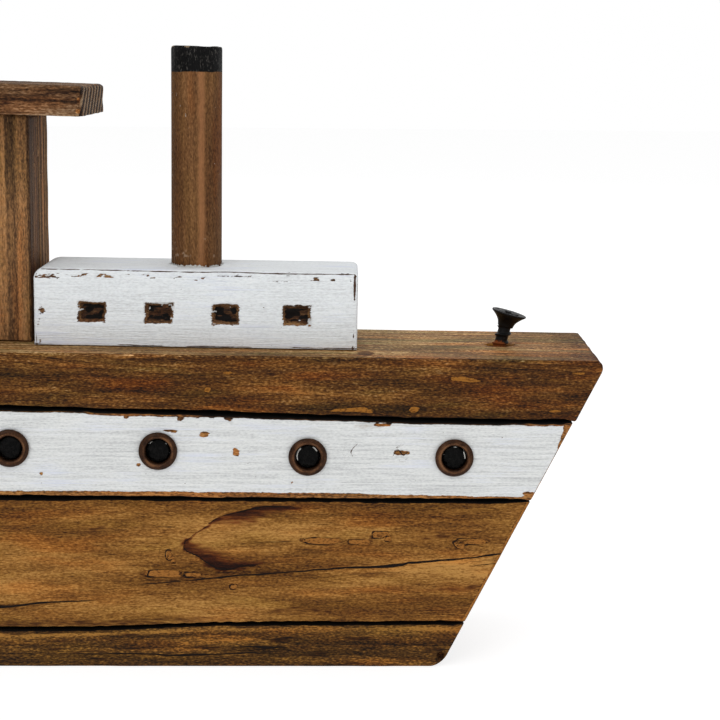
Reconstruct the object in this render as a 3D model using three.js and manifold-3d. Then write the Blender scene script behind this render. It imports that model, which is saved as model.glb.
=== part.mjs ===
// A wooden toy steamer, sawn and glued up from offcuts of board.
// Millimetres, +Z up. X runs along the hull, with the bow at -X and the stern at +X.
// The port side faces -Y. The origin is on the ground, under the middle of the hull.
import * as THREE from "three";
import { mergeVertices } from "three/addons/utils/BufferGeometryUtils.js";
import Module from "manifold-3d";

const wasm = await Module();
wasm.setup();

// ---------------------------------------------------------------------------
// Driving dimensions
// ---------------------------------------------------------------------------

// Gap that keeps glued or fitted pieces apart.
const CLEARANCE = 0.3;

// Hull: four planks lie on each other, the deck falls a little towards the stern, and both ends
// are sawn off at one slant.
const HULL_WIDTH = 40;
const END_RAKE = 0.498;
const PLANK_EDGE = 0.5;
const PLANK_CORNER_RADIUS = 1.2;
const NOSE_RADIUS = 2;
const KEEL_RADIUS = 4;
const DECK_PROUD = 0.5;
// Heights of the three seams and of the deck, at the bow and at the stern: the offcuts taper.
const LOW_SEAM = { bow: 9.3, stern: 11.1 };
const MIDDLE_SEAM = { bow: 43, stern: 41 };
const TOP_SEAM = { bow: 65.3, stern: 59.8 };
const DECK = { bow: 77.5, stern: 74.7 };
const GROUND = { bow: 0, stern: 0 };

// Portholes: metal eyelets at one pitch along the whole length, on both sides.
const PORTHOLE_PITCH = 34.5;
const PORTHOLES_PER_SIDE = 7;
const PORTHOLE_RISE = 0.8;
// The deck runs on past the row's next place at both ends.
const END_OVERRUN = 0.8;
// The flange is rolled: its rim is thin and its crown stands proud between the hole and the rim.
const EYELET = {
  flangeRadius: 4.5,
  holeRadius: 2.95,
  wall: 0.4,
  length: 5.5,
  roll: 1,
  rimRound: 0.2,
  rimThickness: 0.3,
  crownHalfWidth: 0.3,
  mouthDrop: 0.4,
};
const PANE = { thickness: 1.6, rise: 0.5, dome: 0.3 };

// Deckhouse: a painted block that the funnel pins to the deck.
const DECKHOUSE = { length: 76, width: 22, height: 18.2, turn: -0.7 };
const DECKHOUSE_X = 42.7;
const DECKHOUSE_ROUND_END = 2.8;
const WINDOW = { width: 6.4, height: 4.8, depth: 1.8, sill: 5.6 };
// Window centres, measured from the middle of the block: they are cut by eye.
const WINDOW_CENTRES = [-24.1, -8.5, 6.8, 23.5];

// Funnel: a length of standard 12 mm dowel.
const FUNNEL_RADIUS = 6;
const FUNNEL_X = 41.9;
const FUNNEL_RISE = 51.8;
const FUNNEL_SEAT = 6.5;
const FUNNEL_EDGE = 0.4;

// Wheelhouse and roof.
const WHEELHOUSE = { length: 47, width: 22, height: 53.4, turn: -2.2 };
const WHEELHOUSE_CENTRE = { x: -19.6, y: 6.1 };
// The wheelhouse's top is sawn a little out of square, so the roof tips down towards the stern.
const ROOF = { length: 75, width: 35, thickness: 7.3, turn: -0.7, tip: 0.7 };
const ROOF_CENTRE = { x: -19.8, y: 0 };
const BLOCK_EDGE = 0.6;
const BLOCK_CORNER_RADIUS = 0.8;

// Hidden dowels.
const DOWEL_RADIUS = 4;
const HULL_DOWEL_X = 80;
const HULL_DOWEL_COVER = 3;
const DOWEL_IN_DECK = 10;
const DOWEL_IN_BLOCK = 14;
const DOWEL_IN_ROOF = 4;

// Bollards: bugle-head screws that lean aft, driven through the deck plank.
const BOLLARD_X = 115.5;
const BOLLARD_LEAN = 13;
const SCREW = { length: 25, proud: 8, neckRadius: 1.7, neckHeight: 1 };
// The bugle head flares from the neck: slowly up to the waist, then fast up to the rim.
const SCREW_HEAD = { radius: 4.3, height: 3.6, waistRadius: 2.4, waistHeight: 1.6, rim: 0.5 };
const THREAD = { rootRadius: 1.2, crestRadius: 1.75, pitch: 2.2 };
const RECESS = { span: 4.4, width: 1, depth: 2 };

const DECK_LENGTH = PORTHOLE_PITCH * (PORTHOLES_PER_SIDE + 1) + 2 * END_OVERRUN;
const HALF_LENGTH = DECK_LENGTH / 2;
const HALF_WIDTH = HULL_WIDTH / 2;
const DECK_TILT = Math.atan((DECK.bow - DECK.stern) / DECK_LENGTH);
// How far a cutting tool reaches past the face that it opens.
const TOOL_OVERRUN = 1;
// Corners closer together than this are one corner.
const MERGE_DISTANCE = 1e-4;
const ROUND_SEGMENTS = 24;
const SMALL_ROUND_SEGMENTS = 16;
const CORNER_SEGMENTS = 4;

// ---------------------------------------------------------------------------
// Finishes
// ---------------------------------------------------------------------------

const FINISHES = {
  deckWood: { color: 0x6b4a2e, roughness: 0.75, metalness: 0 },
  hullWood: { color: 0x9a6b3f, roughness: 0.7, metalness: 0 },
  keelWood: { color: 0x6a4a2c, roughness: 0.75, metalness: 0 },
  whitePaint: { color: 0xe2e6ea, roughness: 0.6, metalness: 0 },
  cabinWood: { color: 0x7d5735, roughness: 0.75, metalness: 0 },
  roofWood: { color: 0x664832, roughness: 0.8, metalness: 0 },
  funnelWood: { color: 0x734830, roughness: 0.7, metalness: 0 },
  rawWood: { color: 0xc9a777, roughness: 0.8, metalness: 0 },
  bronze: { color: 0x5a3d2b, roughness: 0.45, metalness: 0.8 },
  blackEnamel: { color: 0x0b0b0c, roughness: 0.2, metalness: 0 },
  blackSteel: { color: 0x1c1a18, roughness: 0.45, metalness: 0.7 },
};

// ---------------------------------------------------------------------------
// Helpers
// ---------------------------------------------------------------------------

function named(name, geometry, finish) {
  const mesh = new THREE.Mesh(geometry, new THREE.MeshStandardMaterial(FINISHES[finish]));
  mesh.name = name;
  return mesh;
}

// Joins a geometry's shared vertices and returns it as a closed solid.
function solidFrom(geometry) {
  const faces = geometry.index ? geometry.toNonIndexed() : geometry;
  const bare = new THREE.BufferGeometry();
  bare.setAttribute("position", faces.getAttribute("position"));
  const merged = mergeVertices(bare, MERGE_DISTANCE);
  const mesh = new wasm.Mesh({
    numProp: 3,
    vertProperties: merged.attributes.position.array,
    triVerts: new Uint32Array(merged.index.array),
  });
  return new wasm.Manifold(mesh);
}

function geometryFrom(solid) {
  const mesh = solid.getMesh();
  const geometry = new THREE.BufferGeometry();
  const corners = new Float32Array(mesh.vertProperties);
  geometry.setAttribute("position", new THREE.BufferAttribute(corners, 3));
  geometry.setIndex(new THREE.BufferAttribute(new Uint32Array(mesh.triVerts), 1));
  geometry.computeVertexNormals();
  return geometry;
}

function cut(blank, tools) {
  let solid = solidFrom(blank);
  for (const tool of tools) {
    solid = solid.subtract(solidFrom(tool));
  }
  return geometryFrom(solid);
}

// A closed outline with rounded corners: each corner is [x, y, radius].
function roundedOutline(corners) {
  const shape = new THREE.Shape();
  corners.forEach(([x, y, radius], i) => {
    const corner = new THREE.Vector2(x, y);
    const [beforeX, beforeY] = corners.at(i - 1);
    const [afterX, afterY] = corners[(i + 1) % corners.length];
    const toBefore = new THREE.Vector2(beforeX, beforeY).sub(corner).setLength(radius);
    const toAfter = new THREE.Vector2(afterX, afterY).sub(corner).setLength(radius);
    if (i === 0) {
      shape.moveTo(x + toBefore.x, y + toBefore.y);
    } else {
      shape.lineTo(x + toBefore.x, y + toBefore.y);
    }
    shape.quadraticCurveTo(x, y, x + toAfter.x, y + toAfter.y);
  });
  shape.closePath();
  return shape;
}

// A board: an outline in X and Z, given its width across the boat, with eased edges.
function board(outline, width, edge) {
  const geometry = new THREE.ExtrudeGeometry(outline, {
    depth: width - 2 * edge,
    curveSegments: CORNER_SEGMENTS,
    bevelThickness: edge,
    bevelSize: edge,
    bevelOffset: -edge,
    bevelSegments: 1,
  });
  geometry.translate(0, 0, edge - width / 2);
  geometry.rotateX(Math.PI / 2);
  return geometry;
}

// A block that stands on z = 0. Its top corner at -X can have a larger radius, and its top can
// tip down towards +X by an angle.
function block({ length, width, height }, { roundEnd = BLOCK_CORNER_RADIUS, tip = 0 } = {}) {
  const half = length / 2;
  const drop = half * Math.tan(radians(tip));
  const corners = [
    [-half, 0, BLOCK_CORNER_RADIUS],
    [half, 0, BLOCK_CORNER_RADIUS],
    [half, height - drop, BLOCK_CORNER_RADIUS],
    [-half, height + drop, roundEnd],
  ];
  return board(roundedOutline(corners), width, BLOCK_EDGE);
}

// An upright round rod or drill, from one height to another.
function upright(x, y, low, high, radius) {
  const rod = new THREE.CylinderGeometry(radius, radius, high - low, ROUND_SEGMENTS);
  rod.rotateX(Math.PI / 2);
  rod.translate(x, y, (low + high) / 2);
  return rod;
}

function radians(degrees) {
  return THREE.MathUtils.degToRad(degrees);
}

function seamHeight(seam, x) {
  const fromBow = (x + HALF_LENGTH) / DECK_LENGTH;
  return seam.bow + (seam.stern - seam.bow) * fromBow;
}

// A geometry drawn about z = 0 is set square on the sloping deck.
function onDeck(geometry, x, y) {
  geometry.rotateY(DECK_TILT);
  geometry.translate(x, y, seamHeight(DECK, x));
  return geometry;
}

// A group whose z = 0 is the sloping deck, at one place on it.
function deckGroup({ x, y }) {
  const group = new THREE.Group();
  group.position.set(x, y, seamHeight(DECK, x));
  group.rotation.y = DECK_TILT;
  return group;
}

// A group turned by hand about an upright axis, and tipped down towards the stern.
function turnedGroup(x, y, z, turn, tip = 0) {
  const group = new THREE.Group();
  group.position.set(x, y, z);
  group.rotation.order = "YXZ";
  group.rotation.y = radians(tip);
  group.rotation.z = radians(turn);
  return group;
}

// ---------------------------------------------------------------------------
// Hull
// ---------------------------------------------------------------------------

// Half the hull's length at a height, on an end whose top is at deckHeight.
function endAt(height, deckHeight) {
  return HALF_LENGTH - END_RAKE * (deckHeight - height);
}

// The outline of one plank. Its lower and upper lines each hold the heights at bow and stern.
function plankOutline(lower, upper, options = {}) {
  const { lowerRadius = PLANK_CORNER_RADIUS, upperRadius = PLANK_CORNER_RADIUS } = options;
  const { setback = DECK_PROUD } = options;
  const bowLow = -endAt(lower.bow, DECK.bow) + setback;
  const sternLow = endAt(lower.stern, DECK.stern) - setback;
  const sternHigh = endAt(upper.stern, DECK.stern) - setback;
  const bowHigh = -endAt(upper.bow, DECK.bow) + setback;
  return roundedOutline([
    [bowLow, lower.bow, lowerRadius],
    [sternLow, lower.stern, lowerRadius],
    [sternHigh, upper.stern, upperRadius],
    [bowHigh, upper.bow, upperRadius],
  ]);
}

function shifted(line, dz) {
  return { bow: line.bow + dz, stern: line.stern + dz };
}

function aboveSeam(seam) {
  return shifted(seam, CLEARANCE / 2);
}

function belowSeam(seam) {
  return shifted(seam, -CLEARANCE / 2);
}

// Holes for the two dowels that run up through all four planks.
function hullDowelHoles() {
  const low = HULL_DOWEL_COVER - CLEARANCE;
  const radius = DOWEL_RADIUS + CLEARANCE;
  return [-HULL_DOWEL_X, HULL_DOWEL_X].map((x) => {
    const high = seamHeight(DECK, x) - HULL_DOWEL_COVER + CLEARANCE;
    return upright(x, 0, low, high, radius);
  });
}

function hullDowel(x) {
  const high = seamHeight(DECK, x) - HULL_DOWEL_COVER;
  return upright(x, 0, HULL_DOWEL_COVER, high, DOWEL_RADIUS);
}

function bottomPlank() {
  const outline = plankOutline(GROUND, belowSeam(LOW_SEAM), { lowerRadius: KEEL_RADIUS });
  return cut(board(outline, HULL_WIDTH, PLANK_EDGE), hullDowelHoles());
}

function mainPlank() {
  const outline = plankOutline(aboveSeam(LOW_SEAM), belowSeam(MIDDLE_SEAM));
  return cut(board(outline, HULL_WIDTH, PLANK_EDGE), hullDowelHoles());
}

function bandPlank() {
  const outline = plankOutline(aboveSeam(MIDDLE_SEAM), belowSeam(TOP_SEAM));
  const tools = [...hullDowelHoles(), ...portholeHoles(), ...screwHoles()];
  return cut(board(outline, HULL_WIDTH, PLANK_EDGE), tools);
}

function deckPlank() {
  const outline = plankOutline(aboveSeam(TOP_SEAM), DECK, { upperRadius: NOSE_RADIUS, setback: 0 });
  const funnelFoot = -FUNNEL_SEAT - CLEARANCE;
  const dowelFoot = -DOWEL_IN_DECK - CLEARANCE;
  const funnelSeat = upright(0, 0, funnelFoot, TOOL_OVERRUN, FUNNEL_RADIUS + CLEARANCE);
  const dowelSeat = upright(0, 0, dowelFoot, TOOL_OVERRUN, DOWEL_RADIUS + CLEARANCE);
  const { x, y } = WHEELHOUSE_CENTRE;
  const tools = [
    ...hullDowelHoles(),
    ...screwHoles(),
    onDeck(funnelSeat, FUNNEL_X, 0),
    onDeck(dowelSeat, x, y),
  ];
  return cut(board(outline, HULL_WIDTH, PLANK_EDGE), tools);
}

// ---------------------------------------------------------------------------
// Portholes
// ---------------------------------------------------------------------------

// The row's places, from bow to stern, a little above the middle of the painted band.
function portholePlaces() {
  const middle = (PORTHOLES_PER_SIDE + 1) / 2;
  const places = [];
  for (let number = 1; number <= PORTHOLES_PER_SIDE; number += 1) {
    const x = (number - middle) * PORTHOLE_PITCH;
    const bandMiddle = (seamHeight(MIDDLE_SEAM, x) + seamHeight(TOP_SEAM, x)) / 2;
    places.push({ number, x, z: bandMiddle + PORTHOLE_RISE });
  }
  return places;
}

// Two sides: port looks to -Y and starboard to +Y.
const SIDES = [
  { side: "port", outward: -1 },
  { side: "starboard", outward: 1 },
];

function portholeHoles() {
  const radius = EYELET.holeRadius + EYELET.wall + CLEARANCE;
  const depth = EYELET.length + CLEARANCE;
  const holes = [];
  for (const { outward } of SIDES) {
    for (const { x, z } of portholePlaces()) {
      const hole = new THREE.CylinderGeometry(radius, radius, 2 * depth, SMALL_ROUND_SEGMENTS);
      hole.translate(x, outward * HALF_WIDTH, z);
      holes.push(hole);
    }
  }
  return holes;
}

// An eyelet about +Y: a tube with a flange rolled back over the wood, which is at y = 0.
function eyelet() {
  const inner = EYELET.holeRadius;
  const outer = inner + EYELET.wall;
  const rim = EYELET.flangeRadius;
  const crown = (inner + rim) / 2;
  const top = CLEARANCE + EYELET.roll;
  const profile = [
    [inner, -EYELET.length],
    [outer, -EYELET.length],
    [outer, CLEARANCE],
    [rim - EYELET.rimRound, CLEARANCE],
    [rim, CLEARANCE + EYELET.rimThickness],
    [crown + EYELET.crownHalfWidth, top],
    [crown - EYELET.crownHalfWidth, top],
    [inner, top - EYELET.mouthDrop],
    [inner, -EYELET.length],
  ].map(([radius, y]) => new THREE.Vector2(radius, y));
  return new THREE.LatheGeometry(profile, SMALL_ROUND_SEGMENTS);
}

// A domed drop of enamel that fills the eyelet, a little below its crown.
function pane() {
  const radius = EYELET.holeRadius - CLEARANCE;
  const front = PANE.rise;
  const profile = [
    [0, front - PANE.thickness],
    [radius, front - PANE.thickness],
    [radius, front - PANE.dome],
    [0, front],
  ].map(([r, y]) => new THREE.Vector2(r, y));
  return new THREE.LatheGeometry(profile, SMALL_ROUND_SEGMENTS);
}

function portholes() {
  const group = new THREE.Group();
  for (const { side, outward } of SIDES) {
    for (const { number, x, z } of portholePlaces()) {
      const porthole = new THREE.Group();
      porthole.position.set(x, outward * HALF_WIDTH, z);
      porthole.rotation.x = outward > 0 ? 0 : Math.PI;
      porthole.add(named(`porthole_eyelet_${side}_${number}`, eyelet(), "bronze"));
      porthole.add(named(`porthole_pane_${side}_${number}`, pane(), "blackEnamel"));
      group.add(porthole);
    }
  }
  return group;
}

// ---------------------------------------------------------------------------
// Deckhouse and funnel
// ---------------------------------------------------------------------------

// Shallow chiselled windows in both long sides.
function windowCutters() {
  const cutters = [];
  for (const { outward } of SIDES) {
    for (const centre of WINDOW_CENTRES) {
      const cutter = new THREE.BoxGeometry(WINDOW.width, 2 * WINDOW.depth, WINDOW.height);
      cutter.translate(centre, outward * (DECKHOUSE.width / 2), WINDOW.sill + WINDOW.height / 2);
      cutters.push(cutter);
    }
  }
  return cutters;
}

function deckhouse() {
  const fromFunnel = DECKHOUSE_X - FUNNEL_X;
  const blank = block(DECKHOUSE, { roundEnd: DECKHOUSE_ROUND_END });
  const top = DECKHOUSE.height + TOOL_OVERRUN;
  const hole = upright(-fromFunnel, 0, -TOOL_OVERRUN, top, FUNNEL_RADIUS + CLEARANCE);
  const geometry = cut(blank, [hole, ...windowCutters()]);
  geometry.translate(fromFunnel, 0, CLEARANCE);
  const turned = turnedGroup(0, 0, 0, DECKHOUSE.turn);
  turned.add(named("deckhouse", geometry, "whitePaint"));
  const group = deckGroup({ x: FUNNEL_X, y: 0 });
  group.add(turned);
  return group;
}

function funnel() {
  const foot = -FUNNEL_SEAT;
  const top = DECKHOUSE.height + FUNNEL_RISE;
  const profile = [
    [0, foot],
    [FUNNEL_RADIUS, foot],
    [FUNNEL_RADIUS, top - FUNNEL_EDGE],
    [FUNNEL_RADIUS - FUNNEL_EDGE, top],
    [0, top],
  ].map(([radius, y]) => new THREE.Vector2(radius, y));
  const geometry = new THREE.LatheGeometry(profile, ROUND_SEGMENTS);
  geometry.rotateX(Math.PI / 2);
  return named("funnel", onDeck(geometry, FUNNEL_X, 0), "funnelWood");
}

// ---------------------------------------------------------------------------
// Wheelhouse and roof
// ---------------------------------------------------------------------------

function wheelhouse() {
  const radius = DOWEL_RADIUS + CLEARANCE;
  const depth = DOWEL_IN_BLOCK + CLEARANCE;
  const { height, turn } = WHEELHOUSE;
  const lowSeat = upright(0, 0, -TOOL_OVERRUN, depth, radius);
  const highSeat = upright(0, 0, height - depth, height + TOOL_OVERRUN, radius);
  const geometry = cut(block(WHEELHOUSE, { tip: ROOF.tip }), [lowSeat, highSeat]);
  geometry.translate(0, 0, CLEARANCE);
  const group = turnedGroup(0, 0, 0, turn);
  group.add(named("wheelhouse", geometry, "cabinWood"));
  return group;
}

function wheelhouseDowel() {
  return upright(0, 0, -DOWEL_IN_DECK, DOWEL_IN_BLOCK, DOWEL_RADIUS);
}

function roof() {
  const { length, width, thickness, turn, tip } = ROOF;
  const blank = block({ length, width, height: thickness });
  // The roof's seat lines up with the wheelhouse's middle, not with the roof's own.
  const aside = { x: ROOF_CENTRE.x - WHEELHOUSE_CENTRE.x, y: ROOF_CENTRE.y - WHEELHOUSE_CENTRE.y };
  const seat = new THREE.Vector2(-aside.x, -aside.y);
  seat.rotateAround(new THREE.Vector2(0, 0), -radians(turn));
  const depth = DOWEL_IN_ROOF + CLEARANCE;
  const drill = upright(seat.x, seat.y, -TOOL_OVERRUN, depth, DOWEL_RADIUS + CLEARANCE);
  const geometry = cut(blank, [drill]);
  geometry.translate(0, 0, 2 * CLEARANCE);
  const group = turnedGroup(aside.x, aside.y, WHEELHOUSE.height, turn, tip);
  group.add(named("roof", geometry, "roofWood"));
  return group;
}

function roofDowel() {
  const low = WHEELHOUSE.height - DOWEL_IN_BLOCK + CLEARANCE;
  const high = WHEELHOUSE.height + CLEARANCE + DOWEL_IN_ROOF;
  return upright(0, 0, low, high, DOWEL_RADIUS);
}

// Everything that stands on the deck at the wheelhouse's place.
function bridge() {
  const group = deckGroup(WHEELHOUSE_CENTRE);
  group.add(wheelhouse());
  group.add(named("wheelhouse_dowel", wheelhouseDowel(), "rawWood"));
  group.add(roof());
  group.add(named("roof_dowel", roofDowel(), "rawWood"));
  return group;
}

// ---------------------------------------------------------------------------
// Bollards
// ---------------------------------------------------------------------------

// Leans a geometry that was drawn about its own +Z, and sets its z = 0 on the deck.
function leaned(geometry, x) {
  geometry.rotateY(radians(BOLLARD_LEAN));
  return onDeck(geometry, x, 0);
}

function screwHoles() {
  const depth = SCREW.length - SCREW.proud + CLEARANCE;
  const radius = THREAD.crestRadius + CLEARANCE;
  return [-BOLLARD_X, BOLLARD_X].map((x) => leaned(upright(0, 0, -depth, 2 * radius, radius), x));
}

// The screw's outline from its point up to its flat head; rings stand for the thread.
function screwProfile() {
  const tip = SCREW.proud - SCREW.length;
  const headTop = SCREW.proud;
  const headFoot = headTop - SCREW_HEAD.height;
  const threadTop = headFoot - SCREW.neckHeight;
  const points = [[0, tip]];
  for (let z = tip + 2 * THREAD.pitch; z + THREAD.pitch < threadTop; z += THREAD.pitch) {
    points.push([THREAD.rootRadius, z]);
    points.push([THREAD.crestRadius, z + THREAD.pitch / 2]);
  }
  points.push([THREAD.rootRadius, threadTop]);
  points.push([SCREW.neckRadius, headFoot]);
  points.push([SCREW_HEAD.waistRadius, headFoot + SCREW_HEAD.waistHeight]);
  points.push([SCREW_HEAD.radius, headTop - SCREW_HEAD.rim]);
  points.push([SCREW_HEAD.radius, headTop]);
  points.push([0, headTop]);
  return points.map(([radius, z]) => new THREE.Vector2(radius, z));
}

// Two crossed slots in the head.
function recessCutters() {
  return [0, Math.PI / 2].map((angle) => {
    const slot = new THREE.BoxGeometry(RECESS.span, RECESS.width, 2 * RECESS.depth);
    slot.rotateZ(angle);
    slot.translate(0, 0, SCREW.proud);
    return slot;
  });
}

function bollard(name, x) {
  const blank = new THREE.LatheGeometry(screwProfile(), SMALL_ROUND_SEGMENTS);
  blank.rotateX(Math.PI / 2);
  return named(name, leaned(cut(blank, recessCutters()), x), "blackSteel");
}

// ---------------------------------------------------------------------------
// Assembly
// ---------------------------------------------------------------------------

const boat = new THREE.Group();
boat.add(named("hull_bottom_plank", bottomPlank(), "keelWood"));
boat.add(named("hull_main_plank", mainPlank(), "hullWood"));
boat.add(named("hull_band_plank", bandPlank(), "whitePaint"));
boat.add(named("hull_deck_plank", deckPlank(), "deckWood"));
boat.add(named("hull_dowel_fore", hullDowel(-HULL_DOWEL_X), "rawWood"));
boat.add(named("hull_dowel_aft", hullDowel(HULL_DOWEL_X), "rawWood"));
boat.add(portholes());
boat.add(deckhouse());
boat.add(funnel());
boat.add(bridge());
boat.add(bollard("bollard_screw_fore", -BOLLARD_X));
boat.add(bollard("bollard_screw_aft", BOLLARD_X));

export default boat;
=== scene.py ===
# A wooden toy steamer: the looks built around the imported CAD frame.
# Shapes are worked out in millimetres and turned into metres when a mesh is made.
# X runs along the hull, with the bow at -X. The port side faces -Y. The ground is z = 0.
import math

import bpy
import numpy as np
from mathutils import Matrix, Vector


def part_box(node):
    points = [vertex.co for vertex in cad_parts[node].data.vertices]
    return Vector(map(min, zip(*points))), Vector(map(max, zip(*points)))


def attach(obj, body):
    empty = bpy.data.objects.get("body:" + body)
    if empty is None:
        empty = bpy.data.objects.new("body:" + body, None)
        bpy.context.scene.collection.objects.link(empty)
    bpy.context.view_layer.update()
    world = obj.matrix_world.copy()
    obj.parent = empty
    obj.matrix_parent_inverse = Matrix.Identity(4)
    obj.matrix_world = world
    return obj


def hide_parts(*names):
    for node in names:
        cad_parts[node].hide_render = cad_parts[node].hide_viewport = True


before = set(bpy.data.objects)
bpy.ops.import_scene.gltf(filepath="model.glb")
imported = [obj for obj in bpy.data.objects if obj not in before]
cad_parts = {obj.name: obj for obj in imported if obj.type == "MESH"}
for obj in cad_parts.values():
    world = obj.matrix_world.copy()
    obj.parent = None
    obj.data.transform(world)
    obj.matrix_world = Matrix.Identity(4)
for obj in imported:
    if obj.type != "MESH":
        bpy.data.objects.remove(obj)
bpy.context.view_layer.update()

MM = 0.001


def node_box(node):
    """A CAD node's lowest and highest corners, in millimetres."""
    low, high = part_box(node)
    return np.array(low) / MM, np.array(high) / MM


def middle(node):
    """The middle of a CAD node's box, in millimetres."""
    low, high = node_box(node)
    return (low + high) / 2


# Driving values

PORTHOLES_PER_SIDE = 7
PORTHOLE_NUMBERS = range(1, PORTHOLES_PER_SIDE + 1)
SIDES = {"port": -1, "starboard": 1}
LAST_EYELET = f"porthole_eyelet_port_{PORTHOLES_PER_SIDE}"
PORTHOLE_ROW = middle(LAST_EYELET)[0] - middle("porthole_eyelet_port_1")[0]
PORTHOLE_PITCH = PORTHOLE_ROW / (PORTHOLES_PER_SIDE - 1)

# The deck runs a little further past the end portholes than one pitch.
END_OVERRUN = 0.8
HALF_LENGTH = PORTHOLE_PITCH * (PORTHOLES_PER_SIDE + 1) / 2 + END_OVERRUN
HALF_WIDTH = node_box("hull_deck_plank")[1][1]
# The deck falls in a straight line towards the stern.
DECK_FALL = 2.8
BOW_DECK = node_box("hull_deck_plank")[1][2]
STERN_DECK = BOW_DECK - DECK_FALL
DECK_LINE = [(-HALF_LENGTH, BOW_DECK), (HALF_LENGTH, STERN_DECK)]
DECK_TILT = math.degrees(math.atan2(DECK_FALL, 2 * HALF_LENGTH))

# The hull's ends are sawn off at one slant, and the planks under the deck stand back a little.
END_RAKE = 0.498
SETBACK = 0.5
# The seams between the planks, from bow to stern: (x, z).
LOW_SEAM = [(-HALF_LENGTH, 9.66), (20, 9.39), (62, 10.68), (104, 10.86), (HALF_LENGTH, 11.1)]
MIDDLE_SEAM = [(-HALF_LENGTH, 42.46), (0, 41.59), (60, 41.3), (120, 41.1), (HALF_LENGTH, 41.03)]
TOP_SEAM = [(-HALF_LENGTH, 65.26), (0, 62.89), (40, 62.0), (80, 60.8), (104, 60.16), (HALF_LENGTH, 60.13)]
GROUND = [(-HALF_LENGTH, 0), (HALF_LENGTH, 0)]
SEAM_GAP = 0.05
# A worn seam: how far it opens up and down a plank, how far into the hull, and how far it is black.
SEAM_REACH = 2.0
SEAM_MOUTH = 3.0
SEAM_SHADE = 0.8
# The marks on the hull are placed as if the deck were level at this height.
MARKS_DECK = 75.2

# The blocks' lengths, widths and heights, and how far each is turned about Z, in degrees.
DECKHOUSE_SIZE = (76.0, 22.0, 18.2)
DECKHOUSE_TURN = -0.7
DECKHOUSE_X = 42.7
WINDOW_CENTRES = (-24.1, -8.5, 6.8, 23.5)
WINDOW_SIZE = (6.4, 4.8)
WINDOW_SILL = 5.6
WINDOW_DEPTH = 1.8
WHEELHOUSE_SIZE = (47.0, 22.0, 53.4)
WHEELHOUSE_TURN = -2.2
ROOF_SIZE = (75.0, 35.0, 7.3)
ROOF_TURN = -0.7
ROOF_TIP = 0.7
ROOF_RING_SPACING = 4.3
# Each block reaches this much further down than its CAD solid, which needs a gap under it.
SEAT = 0.2

# The funnel's height is counted from the deck.
FUNNEL_X = 41.9
FUNNEL_RADIUS = 6.0
FUNNEL_FOOT = -6.5
FUNNEL_PLAY = 0.15
FUNNEL_TOP = 70.0
FUNNEL_BAND = 6.0
FUNNEL_SEGMENTS = 110

BOLLARD_X = 115.5
BOLLARD_LEAN = 14.5
BOLLARD_PROUD = 8.25


# Numbers and noise

def ramp(value, low, high):
    """0 below low, 1 above high, and a smooth step between."""
    share = np.clip((value - low) / (high - low), 0, 1)
    return share * share * (3 - 2 * share)


def fade(distance, reach):
    """1 at no distance, falling in a straight line to 0 at reach."""
    return np.clip(1 - distance / reach, 0, 1)


def lattice(cell, seed):
    """A repeatable random number from -1 to 1 for each whole-numbered cell."""
    mix = cell[:, 0] * 73856093 ^ cell[:, 1] * 19349663 ^ cell[:, 2] * 83492791 ^ (seed + 11) * 49979687
    mix = mix & 0xFFFFFFFF
    mix = ((mix ^ (mix >> 15)) * 2246822519) & 0xFFFFFFFF
    mix = ((mix ^ (mix >> 13)) * 3266489917) & 0xFFFFFFFF
    return (mix ^ (mix >> 16)) / 0x7FFFFFFF - 1


def noise(points, size, seed=0):
    """Smooth noise from -1 to 1; size is the width of one bump, or one width for each axis."""
    scaled = points / np.array(size, float)
    cell = np.floor(scaled).astype(np.int64)
    share = scaled - cell
    share = share ** 3 * (share * (share * 6 - 15) + 10)
    total = np.zeros(len(points))
    for corner in np.ndindex(2, 2, 2):
        weight = np.prod(np.where(corner, share, 1 - share), axis=1)
        total += weight * lattice(cell + corner, seed)
    return total


def layers(points, size, seed=0, count=3):
    """Noise with finer and weaker noise added to it."""
    size = np.array(size, float)
    total = np.zeros(len(points))
    for level in range(count):
        total += noise(points, size / 2 ** level, seed + 17 * level) / 2 ** level
    return total / 1.6


def line_points(values, across=0.0):
    """Points along one line, for noise that varies along it only."""
    return np.stack([values, np.full_like(values, across), np.zeros_like(values)], axis=1)


# Marks on a flat face: u runs along it and v up it

LINE_REACH = 1.5


def stretches(u, v, paths):
    """For each stretch of each path: the distance to it, its half width there, and which side it is."""
    for path in paths:
        for start, end in zip(path, path[1:]):
            du = end[0] - start[0]
            dv = end[1] - start[1]
            along = np.clip(((u - start[0]) * du + (v - start[1]) * dv) / (du * du + dv * dv), 0, 1)
            aside_u = u - start[0] - along * du
            aside_v = v - start[1] - along * dv
            width = np.maximum(start[2] + (end[2] - start[2]) * along, 0.001)
            yield np.hypot(aside_u, aside_v), width, np.sign(du * aside_v - dv * aside_u)


def strokes(u, v, paths, left_only=False):
    """1 in the middle of the nearest stroke, 0 at its rim; a path's points are (u, v, half width)."""
    total = np.zeros(len(u))
    for gap, width, side in stretches(u, v, paths):
        total = np.maximum(total, np.where(left_only & (side <= 0), 0, 1 - gap / width))
    return total


def thin_lines(u, v, paths):
    """The signed distance to the nearest thin line, and that line's half width.

    A signed distance stays true between the points of a grid, so a line can be finer than the grid."""
    distance = np.full(len(u), LINE_REACH)
    half_width = np.zeros(len(u))
    for gap, width, side in stretches(u, v, paths):
        closer = gap < np.abs(distance)
        distance = np.where(closer, gap * side, distance)
        half_width = np.where(closer, width, half_width)
    return distance, half_width


def blotches(u, v, patches, roughness):
    """1 in the middle of a patch, 0 at its rim, less outside; each patch is (u, v, width, height)."""
    total = np.full(len(u), -1.0)
    for centre_u, centre_v, width, height in patches:
        along = np.abs(u - centre_u) * 2 / width
        across = np.abs(v - centre_v) * 2 / height
        total = np.maximum(total, 1 - np.cbrt(along ** 3 + across ** 3) + roughness)
    return total


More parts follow.
